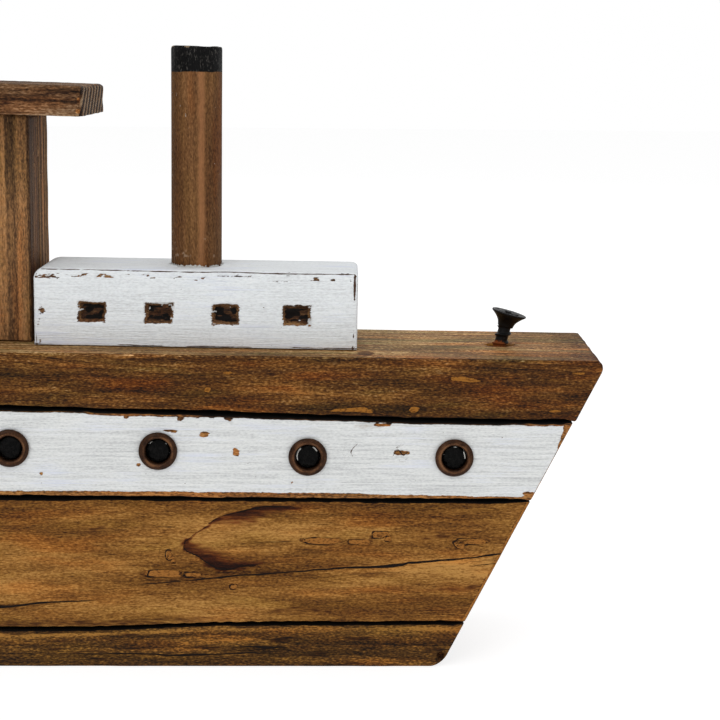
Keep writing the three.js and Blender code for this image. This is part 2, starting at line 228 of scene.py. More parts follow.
def random_cracks(seed, span, band, count):
    """Long thin cracks that nearly follow the grain and taper to nothing at both ends."""
    rng = np.random.default_rng(seed)
    paths = []
    for _ in range(count):
        start = rng.uniform(*span)
        height = rng.uniform(*band)
        length = rng.uniform(12, 60)
        slope = rng.normal(0, 0.02)
        thickest = rng.uniform(0.1, 0.3)
        path = []
        for share in np.linspace(0, 1, 7):
            along = share * length
            half_width = thickest * math.sin(math.pi * share)
            path.append((start + along, height + slope * along + rng.normal(0, 0.2), half_width))
        paths.append(path)
    return paths


def random_patches(seed, span, band, count, widths, heights):
    """Small patches scattered over a face."""
    rng = np.random.default_rng(seed)
    patches = []
    for _ in range(count):
        place = (rng.uniform(*span), rng.uniform(*band))
        patches.append((*place, rng.uniform(*widths), rng.uniform(*heights)))
    return patches


# Shells

EDGE_LINES = np.array([0, 0.12, 0.27, 0.45, 0.7, 1.0])


def grid_lines(half, step):
    """Grid lines from -half to half, closer together near both ends."""
    inner = half - EDGE_LINES[-1]
    even = np.linspace(-inner, inner, max(2, round(2 * inner / step) + 1))
    return np.concatenate([EDGE_LINES[:-1] - half, even, half - EDGE_LINES[-2::-1]])


def box_shell(xs, ys, zs):
    """The closed skin of a box, as a grid on each of its six sides."""
    skin = np.ones((len(xs), len(ys), len(zs)), bool)
    skin[1:-1, 1:-1, 1:-1] = False
    ids = np.cumsum(skin).reshape(skin.shape) - 1
    points = np.stack(np.meshgrid(xs, ys, zs, indexing="ij"), axis=-1)[skin]
    quads = []
    for axis in (2, 1, 0):
        for side in (0, -1):
            sheet = ids.take(side, axis)
            corners = [sheet[:-1, :-1], sheet[1:, :-1], sheet[1:, 1:], sheet[:-1, 1:]]
            quad = np.stack(corners, axis=-1).reshape(-1, 4)
            # The corners run the wrong way round on the low sides, except across Y, where the high one does.
            wrong_way = (side == 0) != (axis == 1)
            quads.append(quad[:, ::-1] if wrong_way else quad)
    return points, np.concatenate(quads)


def rounded(points, half, radius):
    """Eases the edges of a box's skin; also gives the way out of it at each point."""
    core = np.clip(points, radius - half, half - radius)
    out = points - core
    outward = out / np.linalg.norm(out, axis=1, keepdims=True)
    return core + outward * radius, outward


def swept(profile, segments):
    """Each (radius, z) of a profile swept round Z, as one row of points."""
    angles = np.arange(segments) * 2 * math.pi / segments
    return np.array([[(r * math.cos(a), r * math.sin(a), z) for a in angles] for r, z in profile], float)


def lathe(profile, segments):
    """A closed skin of revolution about Z; profile is (radius, z) from the bottom axis to the top."""
    foot, tip = ([(0, 0, profile[end][1])] for end in (0, -1))
    points = np.concatenate([foot, swept(profile[1:-1], segments).reshape(-1, 3), tip])
    top = len(points) - 1 - segments
    faces = []
    for i in range(segments):
        j = (i + 1) % segments
        faces.append((0, 1 + j, 1 + i))
        for low in range(1, top, segments):
            high = low + segments
            faces.append((low + i, low + j, high + j, high + i))
        faces.append((top + i, top + j, len(points) - 1))
    return points, faces


def ring_lathe(profile, segments):
    """A closed ring about Z from a closed profile of (radius, z), which runs anticlockwise."""
    points = swept(profile, segments).swapaxes(0, 1).reshape(-1, 3)
    count = len(profile)
    faces = []
    for i in range(segments):
        here = i * count
        after = (i + 1) % segments * count
        for k in range(count):
            m = (k + 1) % count
            faces.append((here + k, after + k, after + m, here + m))
    return points, faces


def arc(centre, radii, start, end, count):
    """Points on part of an oval, from one angle in degrees to another, as (radius, height)."""
    angles = np.radians(np.linspace(start, end, count))
    return [(centre[0] + radii[0] * math.cos(a), centre[1] + radii[1] * math.sin(a)) for a in angles]


def turned(angle, axis, size=3):
    """The matrix that turns by an angle in degrees."""
    return Matrix.Rotation(math.radians(angle), size, axis)


def on_deck(points, x, lean=0.0):
    """Points made about the origin, stood on the sloping deck at x and leant aft by an angle in degrees."""
    return points @ np.array(turned(DECK_TILT + lean, "Y")).T + np.array([x, 0, height_at(DECK_LINE, x)])


def seated(points, node, turn, tip=0.0, drop=0.0):
    """A block made about the origin, turned about Z, tipped with the deck and put at its CAD node."""
    placing = np.array(turned(DECK_TILT + tip, "Y") @ turned(turn, "Z"))
    return points @ placing.T + middle(node) - np.array([0, 0, SEAT / 2 + drop])


def corner_cut(depth, radius):
    """How far a round corner stands back, at a depth from its flat."""
    inside = np.clip(radius - depth, 0, radius)
    return radius - np.sqrt(radius ** 2 - inside ** 2)


def put(name, data):
    """A new object in the scene."""
    thing = bpy.data.objects.new(name, data)
    bpy.context.scene.collection.objects.link(thing)
    return thing


def piece(node, points, faces, material, fields):
    """Makes the mesh that stands for a CAD node, with its fields as point attributes."""
    mesh = bpy.data.meshes.new(node + "_skin")
    quads = faces.tolist() if isinstance(faces, np.ndarray) else faces
    mesh.from_pydata((points * MM).tolist(), [], quads)
    mesh.shade_smooth()
    for name, values in fields.items():
        attribute = mesh.attributes.new(name, "FLOAT", "POINT")
        attribute.data.foreach_set("value", values.astype(np.float32))
    mesh.materials.append(MATERIALS[material])
    thing = put(node + "_skin", mesh)
    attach(thing, "root")
    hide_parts(node)


def plain_fields(count):
    """The fields that every wooden piece has, all empty."""
    names = ("ring", "tone", "mark", "worn", "stain", "gap", "line", "line_width")
    fields = {name: np.zeros(count) for name in names}
    fields["worn"] -= 1
    fields["line"] += LINE_REACH
    return fields


# A skin counts as facing an axis where its way out goes this much along it.
FACING = (0.7, 0.95)


class Skin:
    """A block or plank in the making: its points, its faces, the way out at each point, and its fields."""

    def __init__(self, points, faces, outward):
        self.points = points
        self.faces = faces
        self.outward = outward
        self.fields = plain_fields(len(points))
        # 1 where the skin faces along each axis, either way, and where it faces up.
        self.end, self.side, self.level = ramp(np.abs(outward), *FACING).T
        self.top = ramp(outward[:, 2], *FACING)

    def at_least(self, name, values):
        """Raises a field to values wherever it is below them."""
        self.fields[name] = np.maximum(self.fields[name], values)

    def push(self, depth):
        """Moves each point inwards."""
        self.points -= self.outward * depth[:, None]


# Materials

def colour(rgb):
    """An sRGB colour, 0 to 255, as linear light."""
    share = np.array(rgb) / 255
    light = np.where(share <= 0.04045, share / 12.92, ((share + 0.055) / 1.055) ** 2.4)
    return (*light.tolist(), 1.0)


class Finish:
    """One Principled material; its methods add nodes and give back their outputs."""

    def __init__(self, name, **constants):
        self.material = bpy.data.materials.new(name)
        self.material.use_nodes = True
        self.tree = self.material.node_tree
        self.shader = self.tree.nodes["Principled BSDF"]
        for socket, value in constants.items():
            self.feed(self.shader.inputs[socket.replace("_", " ")], value)
        self.place = self.add("TexCoord", {}).outputs["Object"]

    def add(self, kind, inputs, **settings):
        """A new node with its settings made and its inputs fed."""
        node = self.tree.nodes.new("ShaderNode" + kind)
        for name, value in settings.items():
            setattr(node, name, value)
        for socket, value in inputs.items():
            self.feed(node.inputs[socket], value)
        return node

    def feed(self, socket, value):
        """Gives a socket another node's output, an sRGB colour as a tuple, or a plain value."""
        if isinstance(value, bpy.types.NodeSocket):
            self.tree.links.new(value, socket)
        elif isinstance(value, tuple):
            socket.default_value = colour(value)
        else:
            socket.default_value = value

    def field(self, name):
        return self.add("Attribute", {}, attribute_name=name).outputs["Fac"]

    def math(self, operation, *values):
        return self.add("Math", dict(enumerate(values)), operation=operation).outputs[0]

    def times(self, first, second):
        return self.math("MULTIPLY", first, second)

    def total(self, start, *parts):
        """start plus each (value, weight)."""
        for value, weight in parts:
            start = self.math("MULTIPLY_ADD", value, weight, start)
        return start

    def step(self, value, low, high):
        """0 below low, 1 above high."""
        inputs = {"Value": value, "From Min": low, "From Max": high}
        return self.add("MapRange", inputs, interpolation_type="SMOOTHSTEP").outputs[0]

    def span(self, value, low, high):
        """A 0 to 1 value spread from low to high."""
        inputs = {"Value": value, "To Min": low, "To Max": high}
        return self.add("MapRange", inputs).outputs[0]

    def patch(self, name, low, high, *parts):
        """0 where a field with parts added to it is below low, 1 where it is above high."""
        return self.step(self.total(self.field(name), *parts), low, high)

    def noise(self, size, detail, shift):
        """Noise around 0; size is the width of one bump in millimetres, or one width for each axis."""
        scale = [1 / (MM * s) for s in np.broadcast_to(size, 3).tolist()]
        inputs = {"Vector": self.place, "Scale": scale, "Location": [shift, shift / 2, -shift]}
        mapping = self.add("Mapping", inputs)
        inputs = {"Vector": mapping.outputs[0], "Scale": 1.0, "Detail": detail}
        texture = self.add("TexNoise", inputs)
        return self.math("SUBTRACT", texture.outputs["Fac"], 0.5)

    def mix(self, share, first, second, blend="MIX"):
        inputs = {0: share, 6: first, 7: second}
        return self.add("Mix", inputs, data_type="RGBA", blend_type=blend).outputs[2]

    def tint(self, share, base, light):
        """Multiplies a colour by light, which is linear."""
        return self.mix(share, base, [*light, 1], "MULTIPLY")

    def tones(self, value, stops):
        """A colour ramp through stops of (place, colour)."""
        node = self.add("ValToRGB", {0: value})
        band = node.color_ramp.elements
        while len(band) < len(stops):
            band.new(0.5)
        for element, (place, rgb) in zip(band, stops):
            element.position = place
            element.color = colour(rgb)
        return node.outputs[0]

    def done(self, base, relief, distance, roughness):
        """Gives the shader its colour, bump and roughness; the last two are totals.

        A relief of 0 to 1 stands for distance in millimetres."""
        inputs = {"Strength": 1.0, "Distance": distance * MM, "Height": self.total(*relief)}
        self.feed(self.shader.inputs["Normal"], self.add("Bump", inputs).outputs[0])
        self.feed(self.shader.inputs["Base Color"], base)
        self.feed(self.shader.inputs["Roughness"], self.total(*roughness))
        return self.material


WARM = (1.15, 0.96, 0.8)
OLIVE = (0.92, 0.95, 0.84)
RUSSET = (1.34, 0.98, 0.74)
MOSS = (0.66, 0.78, 0.72)
DARK = (0.4, 0.34, 0.3)
BURNT = (0.3, 0.22, 0.18)
CRACK_BLACK = (20, 11, 7)
SEAM_BLACK = (13, 9, 7)


def wood_nodes(finish, tones, along, ring_strength, speckle=0.5, streaky=1.0, hues=(WARM, OLIVE), grit=1.9):
    """Bare wood: its colour, its height, its roughness and its finest noise. along is the grain's axis."""
    def grain(length, width, detail, shift):
        size = (length, width, width) if along == "x" else (width, width, length)
        return finish.noise(size, detail, shift)

    broad = grain(48, 6, 2, 1.3)
    hue = grain(26, 4, 3, 6.2)
    streak = grain(15, 1.2, 4, 4.1)
    fibre = grain(2.6, 0.22, 3, 7.7)
    pores = finish.step(grain(2.6, 0.22, 2, 2.9), 0.17, 0.25)
    specks = grain(2.2, 0.7, 4, 8.3)
    fine = grain(0.8, 0.3, 3, 5.2)
    phase = finish.math("FRACT", finish.total(finish.field("ring"), (streak, 0.5), (hue, 0.9)))
    late_wood = finish.times(finish.step(phase, 0.35, 0.92), finish.step(phase, 1.0, 0.93))
    rings = finish.times(late_wood, finish.span(finish.step(broad, -0.15, 0.15), 0.15, 1.0))
    tone = finish.total(
        0.5,
        (broad, 0.75),
        (streak, 0.85 * streaky),
        (fibre, 0.95 * streaky),
        (fine, grit),
        (finish.field("tone"), 0.2),
        (rings, -ring_strength),
        (pores, -0.13),
    )
    base = finish.tones(tone, tones)
    base = finish.tint(finish.step(hue, -0.02, 0.22), base, hues[0])
    base = finish.tint(finish.step(hue, 0.0, -0.2), base, hues[1])
    specks = finish.step(finish.total(specks, (fine, 0.3)), 0.12, 0.24)
    base = finish.tint(finish.times(specks, speckle), base, DARK)
    height = finish.total(0.5, (fibre, 0.9), (streak, 0.5), (rings, 0.25), (pores, -0.5), (fine, 0.5))
    roughness = finish.total(0.68, (streak, 0.35), (fibre, 0.3), (pores, 0.1))
    return base, height, roughness, fine


def marked(finish, base, fine, worn_colour, stain):
    """Adds stains, dark marks, worn pale patches, cracks and the black of the seams to bare wood."""
    ragged = finish.noise((2.6, 0.45, 0.45), 3, 9.4)
    base = finish.tint(finish.patch("stain", 0.1, 0.9, (ragged, 1.4), (fine, 0.8)), base, stain)
    base = finish.tint(finish.patch("mark", 0.2, 0.9, (ragged, 1.6), (fine, 1.0)), base, BURNT)
    worn = finish.total(finish.field("worn"), (ragged, 0.6), (fine, 0.5))
    rim = finish.times(finish.step(worn, -0.25, -0.06), finish.step(ragged, -0.1, 0.08))
    base = finish.tint(rim, base, BURNT)
    pale = finish.tint(finish.step(fine, -0.02, 0.16), worn_colour, DARK)
    base = finish.mix(finish.step(worn, 0.0, 0.12), base, pale)
    away = finish.math("ABSOLUTE", finish.field("line"))
    width = finish.field("line_width")
    cover = finish.total(width, (away, -1.0), (ragged, 0.35), (fine, 0.2))
    crack = finish.times(finish.step(cover, -0.03, 0.06), finish.step(width, 0.01, 0.06))
    base = finish.mix(crack, base, CRACK_BLACK)
    gap = finish.patch("gap", 0.3, 0.5, (ragged, 0.35), (fine, 0.5))
    return finish.mix(gap, base, SEAM_BLACK), gap, crack


def wood(name, tones, worn, stain, along="x", ring_strength=0.3, **grain):
    """A finish for bare or oiled wood; worn is a colour and stain a tint in linear light."""
    finish = Finish(name, Specular_IOR_Level=0.12)
    base, height, roughness, fine = wood_nodes(finish, tones, along, ring_strength, **grain)
    base, gap, crack = marked(finish, base, fine, worn, stain)
    return finish.done(base, (height, (crack, -0.8)), 0.2, (roughness, (gap, 0.2)))


def painted(name, tones, whites, brushed):
    """White paint brushed over wood, chipped off where the field paint falls below 0."""
    finish = Finish(name, Specular_IOR_Level=0.2)
    base, height, roughness, fine = wood_nodes(finish, tones, "x", 0.25, 0.4)
    base, gap, crack = marked(finish, base, fine, (150, 100, 54), (1.5, 1.3, 1.1))
    brush = finish.noise((24, 0.9, 0.5), 4, 3.3)
    hairs = finish.noise((6, 0.35, 0.22), 3, 8.8)
    cloud = finish.noise((18, 7, 5), 2, 6.1)
    specks = finish.noise((0.8, 0.5, 0.4), 1, 7.3)
    ragged = finish.noise((1.1, 0.5, 0.4), 4, 1.9)
    shade = finish.total(0.5, (brush, 0.9 * brushed), (hairs, 0.9 * brushed), (cloud, 0.4), (fine, 1.0))
    blue = finish.step(finish.total(cloud, (brush, 0.9), (hairs, 0.4)), 0.0, 0.4)
    grime = finish.patch("grime", 0.3, 1.0, (brush, 0.8), (fine, 0.9))
    cover = finish.total(finish.field("paint"), (ragged, 1.5), (fine, 0.8))
    film = finish.step(cover, 0.0, 0.07)
    rim = finish.times(finish.step(cover, 0.26, 0.1), finish.step(ragged, -0.1, 0.1))
    coats = [
        (finish.times(blue, 0.6), (196, 203, 224)),
        (finish.times(grime, 0.6), (134, 112, 86)),
        (finish.step(specks, 0.3, 0.33), (84, 66, 50)),
        (finish.times(rim, 0.5), (104, 78, 52)),
        # Thin dark lines: cracks and scratches, and on the deckhouse also the painted shade lines along its
        # foot and bow corner.
        (crack, (66, 42, 26)),
    ]
    white = finish.tones(shade, whites)
    for share, rgb in coats:
        white = finish.mix(share, white, rgb)
    relief = (0.2, (height, 0.25), (film, 0.5), (brush, 0.7), (hairs, 0.7))
    rough = (roughness, (film, -0.06), (gap, 0.2), (brush, 0.2))
    return finish.done(finish.mix(film, base, white), relief, 0.25, rough)


def bronze():
    """Dark browned metal of the eyelets, rubbed brighter on its high spots."""
    finish = Finish("browned_bronze", Metallic=0.5, Specular_IOR_Level=0.15)
    cloud = finish.noise(2.2, 3, 1.0)
    fine = finish.noise(0.3, 3, 2.0)
    tone = finish.total(0.35, (cloud, 0.8), (fine, 0.9), (finish.field("worn"), 0.5))
    base = finish.tones(tone, [(0.1, (24, 13, 7)), (0.5, (64, 40, 25)), (0.95, (110, 76, 50))])
    return finish.done(base, (0.5, (fine, 0.6), (cloud, 0.5)), 0.06, (0.4, (cloud, 0.5), (fine, 0.4)))


def enamel():
    """Thick black gloss enamel with dust in it, and painted highlights: a pale colour mixed in where a point
    field marks glints.
    """
    finish = Finish("black_enamel", Specular_IOR_Level=0.06)
    cloud = finish.noise(1.1, 3, 1.0)
    fine = finish.noise(0.25, 2, 2.0)
    tone = finish.total(0.4, (cloud, 1.2), (fine, 0.9))
    base = finish.tones(tone, [(0.3, (1, 1, 1)), (0.95, (24, 22, 21))])
    # Painted highlights: a pale colour where the glint field is high.
    base = finish.mix(finish.patch("painted_glint", 0.45, 0.75, (cloud, 0.6), (fine, 0.5)), base, (206, 204, 198))
    return finish.done(base, (0.5, (cloud, 1.0), (fine, 0.5)), 0.3, (0.2, (cloud, 0.5), (fine, 0.4)))


def black_steel():
    """Phosphated steel of the screws, with rust where the field rust is high."""
    finish = Finish("black_steel", Metallic=0.2, Specular_IOR_Level=0.2)
    cloud = finish.noise(1.6, 3, 1.0)
    fine = finish.noise(0.22, 3, 2.0)
    tone = finish.total(0.4, (cloud, 1.0), (fine, 0.8))
    base = finish.tones(tone, [(0.2, (4, 3, 3)), (0.6, (12, 10, 9)), (0.95, (64, 57, 52))])
    rust = finish.patch("rust", 0.3, 0.7, (cloud, 1.2), (fine, 0.9))
    relief = (0.5, (fine, 0.6), (cloud, 0.5))
    return finish.done(finish.mix(rust, base, (122, 62, 22)), relief, 0.08, (0.45, (cloud, 0.5), (rust, 0.3)))


def raw_wood():
    """Pale unfinished dowel wood, for the pegs inside."""
    finish = Finish("raw_dowel", Specular_IOR_Level=0.3)
    streak = finish.noise((0.8, 0.8, 14), 3, 4.1)
    fibre = finish.noise((0.2, 0.2, 6), 3, 7.7)
    tone = finish.total(0.5, (streak, 0.9), (fibre, 0.6))
    base = finish.tones(tone, [(0.2, (168, 132, 88)), (0.8, (214, 182, 136))])
    return finish.done(base, (0.5, (fibre, 0.8)), 0.1, (0.75, (streak, 0.3)))


def funnel_finish():
    """Brown stained dowel with a black band at its top, a little white paint at its foot, and one paler
    streak that is a painted highlight.
    """
    finish = Finish("funnel_wood", Specular_IOR_Level=0.12)
    tones = [(0.1, (58, 33, 14)), (0.45, (94, 62, 34)), (0.7, (114, 78, 46)), (1.0, (144, 102, 64))]
    base, height, roughness, fine = wood_nodes(finish, tones, "z", 0.1, 0.4, streaky=0.35, grit=1.3)
    ragged = finish.noise((1.0, 1.0, 2.4), 4, 6.6)
    dust = finish.total(0.22, (ragged, 1.3), (fine, 3.4))
    black = finish.tones(dust, [(0.4, (1, 1, 1)), (1.0, (72, 69, 65))])
    band = finish.patch("band", -0.05, 0.1, (ragged, 0.5), (fine, 0.3))
    white = finish.patch("paint", 0.4, 0.5, (ragged, 1.4), (fine, 0.8))
    coats = [
        # The first coat is the paler streak up the side, a painted highlight.
        (finish.times(finish.patch("stain", 0.2, 0.9, (ragged, 0.8)), 0.55), (158, 108, 70)),
        (finish.times(finish.patch("mark", 0.4, 0.95, (ragged, 1.4), (fine, 1.2)), 0.6), (150, 126, 104)),
        (band, black),
        (finish.patch("worn", 0.5, 0.65, (ragged, 1.2), (fine, 0.9)), (128, 108, 84)),
        (white, (208, 208, 204)),
    ]
    for share, coat in coats:
        base = finish.mix(share, base, coat)
    relief = (height, (band, 0.3), (white, 0.6), (ragged, 0.5))
    return finish.done(base, relief, 0.16, (roughness, (band, -0.12)))


MATERIALS = {
    "main": wood(
        "oiled_pine",
        [(0.0, (46, 20, 2)), (0.35, (99, 61, 20)), (0.62, (133, 89, 37)), (1.0, (178, 130, 68))],
        (150, 98, 42), (0.42, 0.24, 0.18), ring_strength=0.1, speckle=0.3, streaky=0.95, grit=1.35,
    ),
    "deck": wood(
        "dark_board",
        [(0.0, (26, 10, 1)), (0.38, (75, 43, 13)), (0.62, (104, 66, 25)), (1.0, (156, 110, 56))],
        (150, 98, 36), (2.9, 4.25, 8.6), ring_strength=0.2, speckle=0.6, hues=(RUSSET, MOSS), grit=1.6,
    ),
    "bottom": wood(
        "keel_board",
        [(0.0, (22, 10, 1)), (0.4, (70, 44, 14)), (0.65, (98, 65, 24)), (1.0, (154, 108, 48))],
        (150, 104, 50), (1.3, 1.3, 1.2), ring_strength=0.3, speckle=0.7,
    ),
    "band": painted(
        "band_paint",
        [(0.1, (70, 42, 18)), (0.5, (138, 90, 42)), (0.9, (180, 128, 72))],
        [(0.1, (184, 185, 186)), (0.5, (214, 216, 215)), (0.9, (230, 230, 228))],
        1.0,
    ),
    "house": painted(
        "deckhouse_paint",
        [(0.1, (56, 36, 22)), (0.5, (112, 80, 52)), (0.9, (164, 122, 80))],
        [(0.1, (200, 202, 204)), (0.5, (225, 229, 231)), (0.9, (238, 240, 240))],
        0.45,
    ),
    "cabin": wood(
        "cabin_wood",
        [(0.0, (40, 25, 14)), (0.4, (92, 65, 42)), (0.65, (132, 95, 60)), (1.0, (170, 126, 84))],
        (160, 122, 84), (1.25, 1.15, 1.0), along="z", ring_strength=0.12, speckle=0.3, streaky=0.8, grit=1.1,
    ),
    "roof": wood(
        "roof_wood",
        [(0.0, (30, 16, 6)), (0.4, (80, 54, 32)), (0.65, (110, 79, 52)), (1.0, (154, 126, 98))],
        (150, 124, 96), (2.2, 1.7, 1.0), ring_strength=0.2, speckle=0.6, grit=1.4,
    ),
    "funnel": funnel_finish(),
    "bronze": bronze(),
    "enamel": enamel(),
    "steel": black_steel(),
}


# Hull planks

EDGE_RADIUS = 0.5
CHIP_OUTLINE = 0.12


def height_at(line, x):
    """The height of a seam at x."""
    return np.interp(x, *zip(*line))


def shift(line, dz):
    """A seam moved up by dz."""
    return [(x, z + dz) for x, z in line]


def end_at(z, x, setback):
    """Half the hull's length at a height: at the bow where x is below 0, and else at the stern."""
    deck = np.where(x < 0, BOW_DECK, STERN_DECK)
    return HALF_LENGTH - END_RAKE * (deck - z) - setback


def seam_opening(x, side, seed, width):
    """How far a plank's worn edge opens the seam at the surface, in millimetres."""
    place = line_points(x, 60 * side)
    wide = noise(place, 24, seed) * 0.16 + noise(place, 7, seed + 1) * 0.16
    return np.clip(width + wide + noise(place, 1.8, seed + 2) * 0.16, 0.08, 1.1)


class Plank(Skin):
    """One plank of the hull, with where each point lies on it."""

    def __init__(self, lower, upper, setback, steps, seed, low_radii=(0, 0), top_radii=(0, 0)):
        thickness = height_at(upper, 0) - height_at(lower, 0)
        half = np.array([HALF_LENGTH, HALF_WIDTH, thickness / 2])
        points, faces = box_shell(*(grid_lines(size, step) for size, step in zip(half, steps)))
        soft = EDGE_RADIUS * (1 + 0.3 * noise(points, 9, seed))[:, None]
        points, outward = rounded(points, half, soft)
        x, y, z = points.T
        share = (z + half[2]) / thickness
        low = height_at(lower, x)
        high = height_at(upper, x)
        z = low + (high - low) * share
        self.up = high - z
        self.down = z - low
        end = end_at(z, x, setback)
        x = x * end / HALF_LENGTH
        # Round ends, by one radius on the port side and one on the starboard side.
        for radii, depth in ((low_radii, self.down), (top_radii, self.up)):
            radius = np.interp(y, (-HALF_WIDTH, HALF_WIDTH), radii)
            near = ramp(np.abs(x), end - 3 * radius - 0.01, end)
            x = x - np.sign(x) * corner_cut(depth, radius) * near
        super().__init__(np.stack([x, y, z], axis=1), faces, outward)
        self.from_end = end - np.abs(x)
        self.from_side = HALF_WIDTH - np.abs(y)
        self.port = y < 0
        self.seed = seed

    def open_seams(self, *seams):
        """Wears away the edge at each seam, (above, seed, width), and then lays u and v on the sides."""
        x, _, z = self.points.T
        for above, seed, width in seams:
            distance = self.up if above else self.down
            opening = seam_opening(x, np.where(self.port, -1.0, 1.0), seed, width)
            opening = opening * (0.12 + 0.88 * ramp(self.from_end, 0.3, 3.0))
            reach = fade(distance, SEAM_REACH) ** 2
            reach = reach * fade(self.from_side, SEAM_MOUTH)
            z += (-1 if above else 1) * opening * reach
            self.at_least("gap", fade(distance, SEAM_SHADE) * ramp(self.from_side, 0.04, 0.24))
        # u and v are bent a little, so that marks have no straight lines.
        self.u = x + 1.2 * noise(self.points, 4, self.seed + 1)
        self.v = z + MARKS_DECK - height_at(DECK_LINE, x)
        self.v = self.v + 0.35 * noise(self.points, (6, 6, 2), self.seed + 2)

    def on_each_side(self, draw, port, starboard, *settings):
        """What draw makes of one list of marks on the port side, and of the other on the starboard side."""
        sides = [draw(self.u, self.v, marks, *settings) for marks in (port, starboard)]
        return np.where(self.port, *sides)

    def crack(self, port, starboard):
        """Cuts cracks into the two long faces: a shallow groove, and fields for the fine black line."""
        line, width = self.on_each_side(thin_lines, port, starboard)
        width = width * self.side
        self.fields.update(line=line, line_width=width)
        self.push(1.2 * width * fade(np.abs(line), 0.8))

    def sawn_ends(self, seed):
        """How far the rough sawn ends stand back."""
        return 0.12 * (1 + noise(self.points, 3, seed)) * self.end


def outlines(patches):
    """A thin dark line round each patch, thickest at its left end."""
    paths = []
    for u, v, width, height in patches:
        loop = []
        for angle in np.linspace(0, 2 * math.pi, 12):
            across, up = (math.copysign(abs(way) ** 0.35, way) for way in (math.cos(angle), math.sin(angle)))
            thickness = CHIP_OUTLINE * (0.5 - 0.5 * across)
            loop.append((u + 0.5 * width * across, v + 0.5 * height * up, thickness))
        paths.append(loop)
    return paths


# Marks on the main plank, seen from port: cracks, the dark edges of one flame in the grain,
# and places where the finish is chipped off.
MAIN_CRACKS = [
    [
        (25, 19.2, 0), (35, 20.4, 0.08), (49, 21.9, 0.2), (65, 23.4, 0.16), (76, 23.9, 0.2), (83, 24.5, 0.3),
        (92, 25.3, 0.34), (93, 25.8, 0.3), (103, 26.9, 0.2), (114, 28, 0.22), (126, 29.7, 0.12),
    ],
    [(-12, 13.4, 0.3), (-3, 14.1, 0.26), (7, 15.2, 0.24), (14, 15.6, 0.12), (22, 15.9, 0)],
    [(106, 25.1, 0), (112, 25.7, 0.12), (116, 26.3, 0.16), (122, 27.3, 0.1)],
    [(54, 30.2, 0), (60, 30.6, 0.07), (69, 31.1, 0)],
    [(30, 34.2, 0), (36, 33.9, 0.05), (43, 34.6, 0)],
]
# The flame's outer edge, where it is darkest; it fades inwards over a width: (x, z, width).
MAIN_FLAME = [
    (66.5, 39.2, 0.8), (59.6, 39.4, 3.4), (54.6, 38.6, 4.4), (50.5, 37.2, 3.2), (47.6, 35.3, 0.8),
    (44.3, 33.5, 0.4), (41.4, 31.9, 0.6), (39.5, 30.5, 1.6), (40.3, 28.9, 2.6), (42.6, 27.5, 3.4),
    (45.4, 25.7, 4.2), (48.2, 24.2, 4.6), (51, 23.9, 4.2), (53.9, 24.6, 2.8), (57.8, 25.2, 0.8),
]
MAIN_SHADOWS = [
    [(16, 33.4, 0.9), (19, 33, 1.5), (22, 34.6, 0.7)],
    [(98, 32.2, 0.6), (101, 32.4, 1.2), (104, 32.6, 0.5)],
    [(98, 19.2, 0.4), (106, 19.7, 1.0), (116, 20.9, 0.4)],
    [(60, 13.4, 0.5), (66, 14.3, 1.2), (74, 13.6, 0.6)],
]
MAIN_CHIPS = [
    (73, 31.1, 8.6, 1.5), (81.7, 30.7, 5.4, 1.5), (35.5, 22.5, 8.8, 1.6), (42.5, 22.5, 4.2, 1.1),
    (36.6, 27.2, 1.6, 2.4), (37.4, 26.2, 1.3, 1.6), (86.4, 32.7, 2.2, 1.7), (87.3, 31.9, 1.3, 1.3),
    (109, 31.4, 8, 1.4), (104.8, 30.3, 1.9, 1.8), (50.8, 19.5, 1.9, 1.2),
]


def main_plank():
    plank = Plank(shift(LOW_SEAM, SEAM_GAP), shift(MIDDLE_SEAM, -SEAM_GAP), SETBACK, (0.66, 3.2, 0.42), 20)
    points, fields, side = plank.points, plank.fields, plank.side
    x, y, _ = points.T
    plank.open_seams((False, 101, 0.42), (True, 102, 0.45 + 0.25 * ramp(x, 22, 5)))
    u, v = plank.u, plank.v
    # The pith lies near the port face, so the rings open out as a flame from its tip.
    rings = np.hypot(y + 12, v - 30.2 - 2.5 * noise(points, (60, 40, 40), 22))
    fields["ring"] = (rings - 0.13 * x) / 2.6 + 0.8 * layers(points, (34, 9, 9), 23)
    chips = MAIN_CHIPS + random_patches(26, (-125, -8), (14, 38), 11, (2, 8), (1.1, 1.8))
    other_chips = random_patches(27, (-125, 115), (14, 38), 18, (2, 8), (1.1, 1.8))
    flame_edge = [(place, height, 0.02 + 0.035 * width) for place, height, width in MAIN_FLAME]
    cracks = MAIN_CRACKS + [flame_edge] + random_cracks(24, (-125, -50), (14, 38), 5)
    plank.crack(cracks + outlines(chips), random_cracks(25, (-125, 70), (14, 38), 8) + outlines(other_chips))
    worn = plank.on_each_side(blotches, chips, other_chips, 0.4 * layers(points, (2.2, 2, 1.1), 28))
    feathers = 1 + 0.5 * layers(points, (9, 3, 0.7), 34)
    flame = np.where(plank.port, strokes(u, v, [MAIN_FLAME], left_only=True) * feathers, 0)
    shadow = np.where(plank.port, strokes(u, v, MAIN_SHADOWS), 0)
    low_band = ramp(plank.down + 0.2 * noise(points, 12, 32), 2.2, 1.8) * ramp(np.abs(x - 18), 36, 30)
    fields["mark"] = (0.55 * shadow + 0.55 * low_band + 0.85 * ramp(flame, 0.3, 0.95)) * side
    fields["stain"] = np.maximum(1.5 * flame, 0.5 * shadow) * side
    bevel = ramp(plank.from_end + 0.2 * noise(points, 3, 33), 1.1, 0.6) - 0.5
    fields["worn"] = np.where(side > 0.5, np.maximum(worn, bevel), -1)
    fields["tone"] = 1.9 * layers(points, (50, 20, 8), 29) - 0.6 * plank.end
    depth = 0.2 * ramp(worn, -0.1, 0.15) * side
    depth += 0.06 * (1 + layers(points, (14, 2, 1.1), 30)) * side
    plank.push(depth + plank.sawn_ends(31))
    piece("hull_main_plank", points, plank.faces, "main", fields)


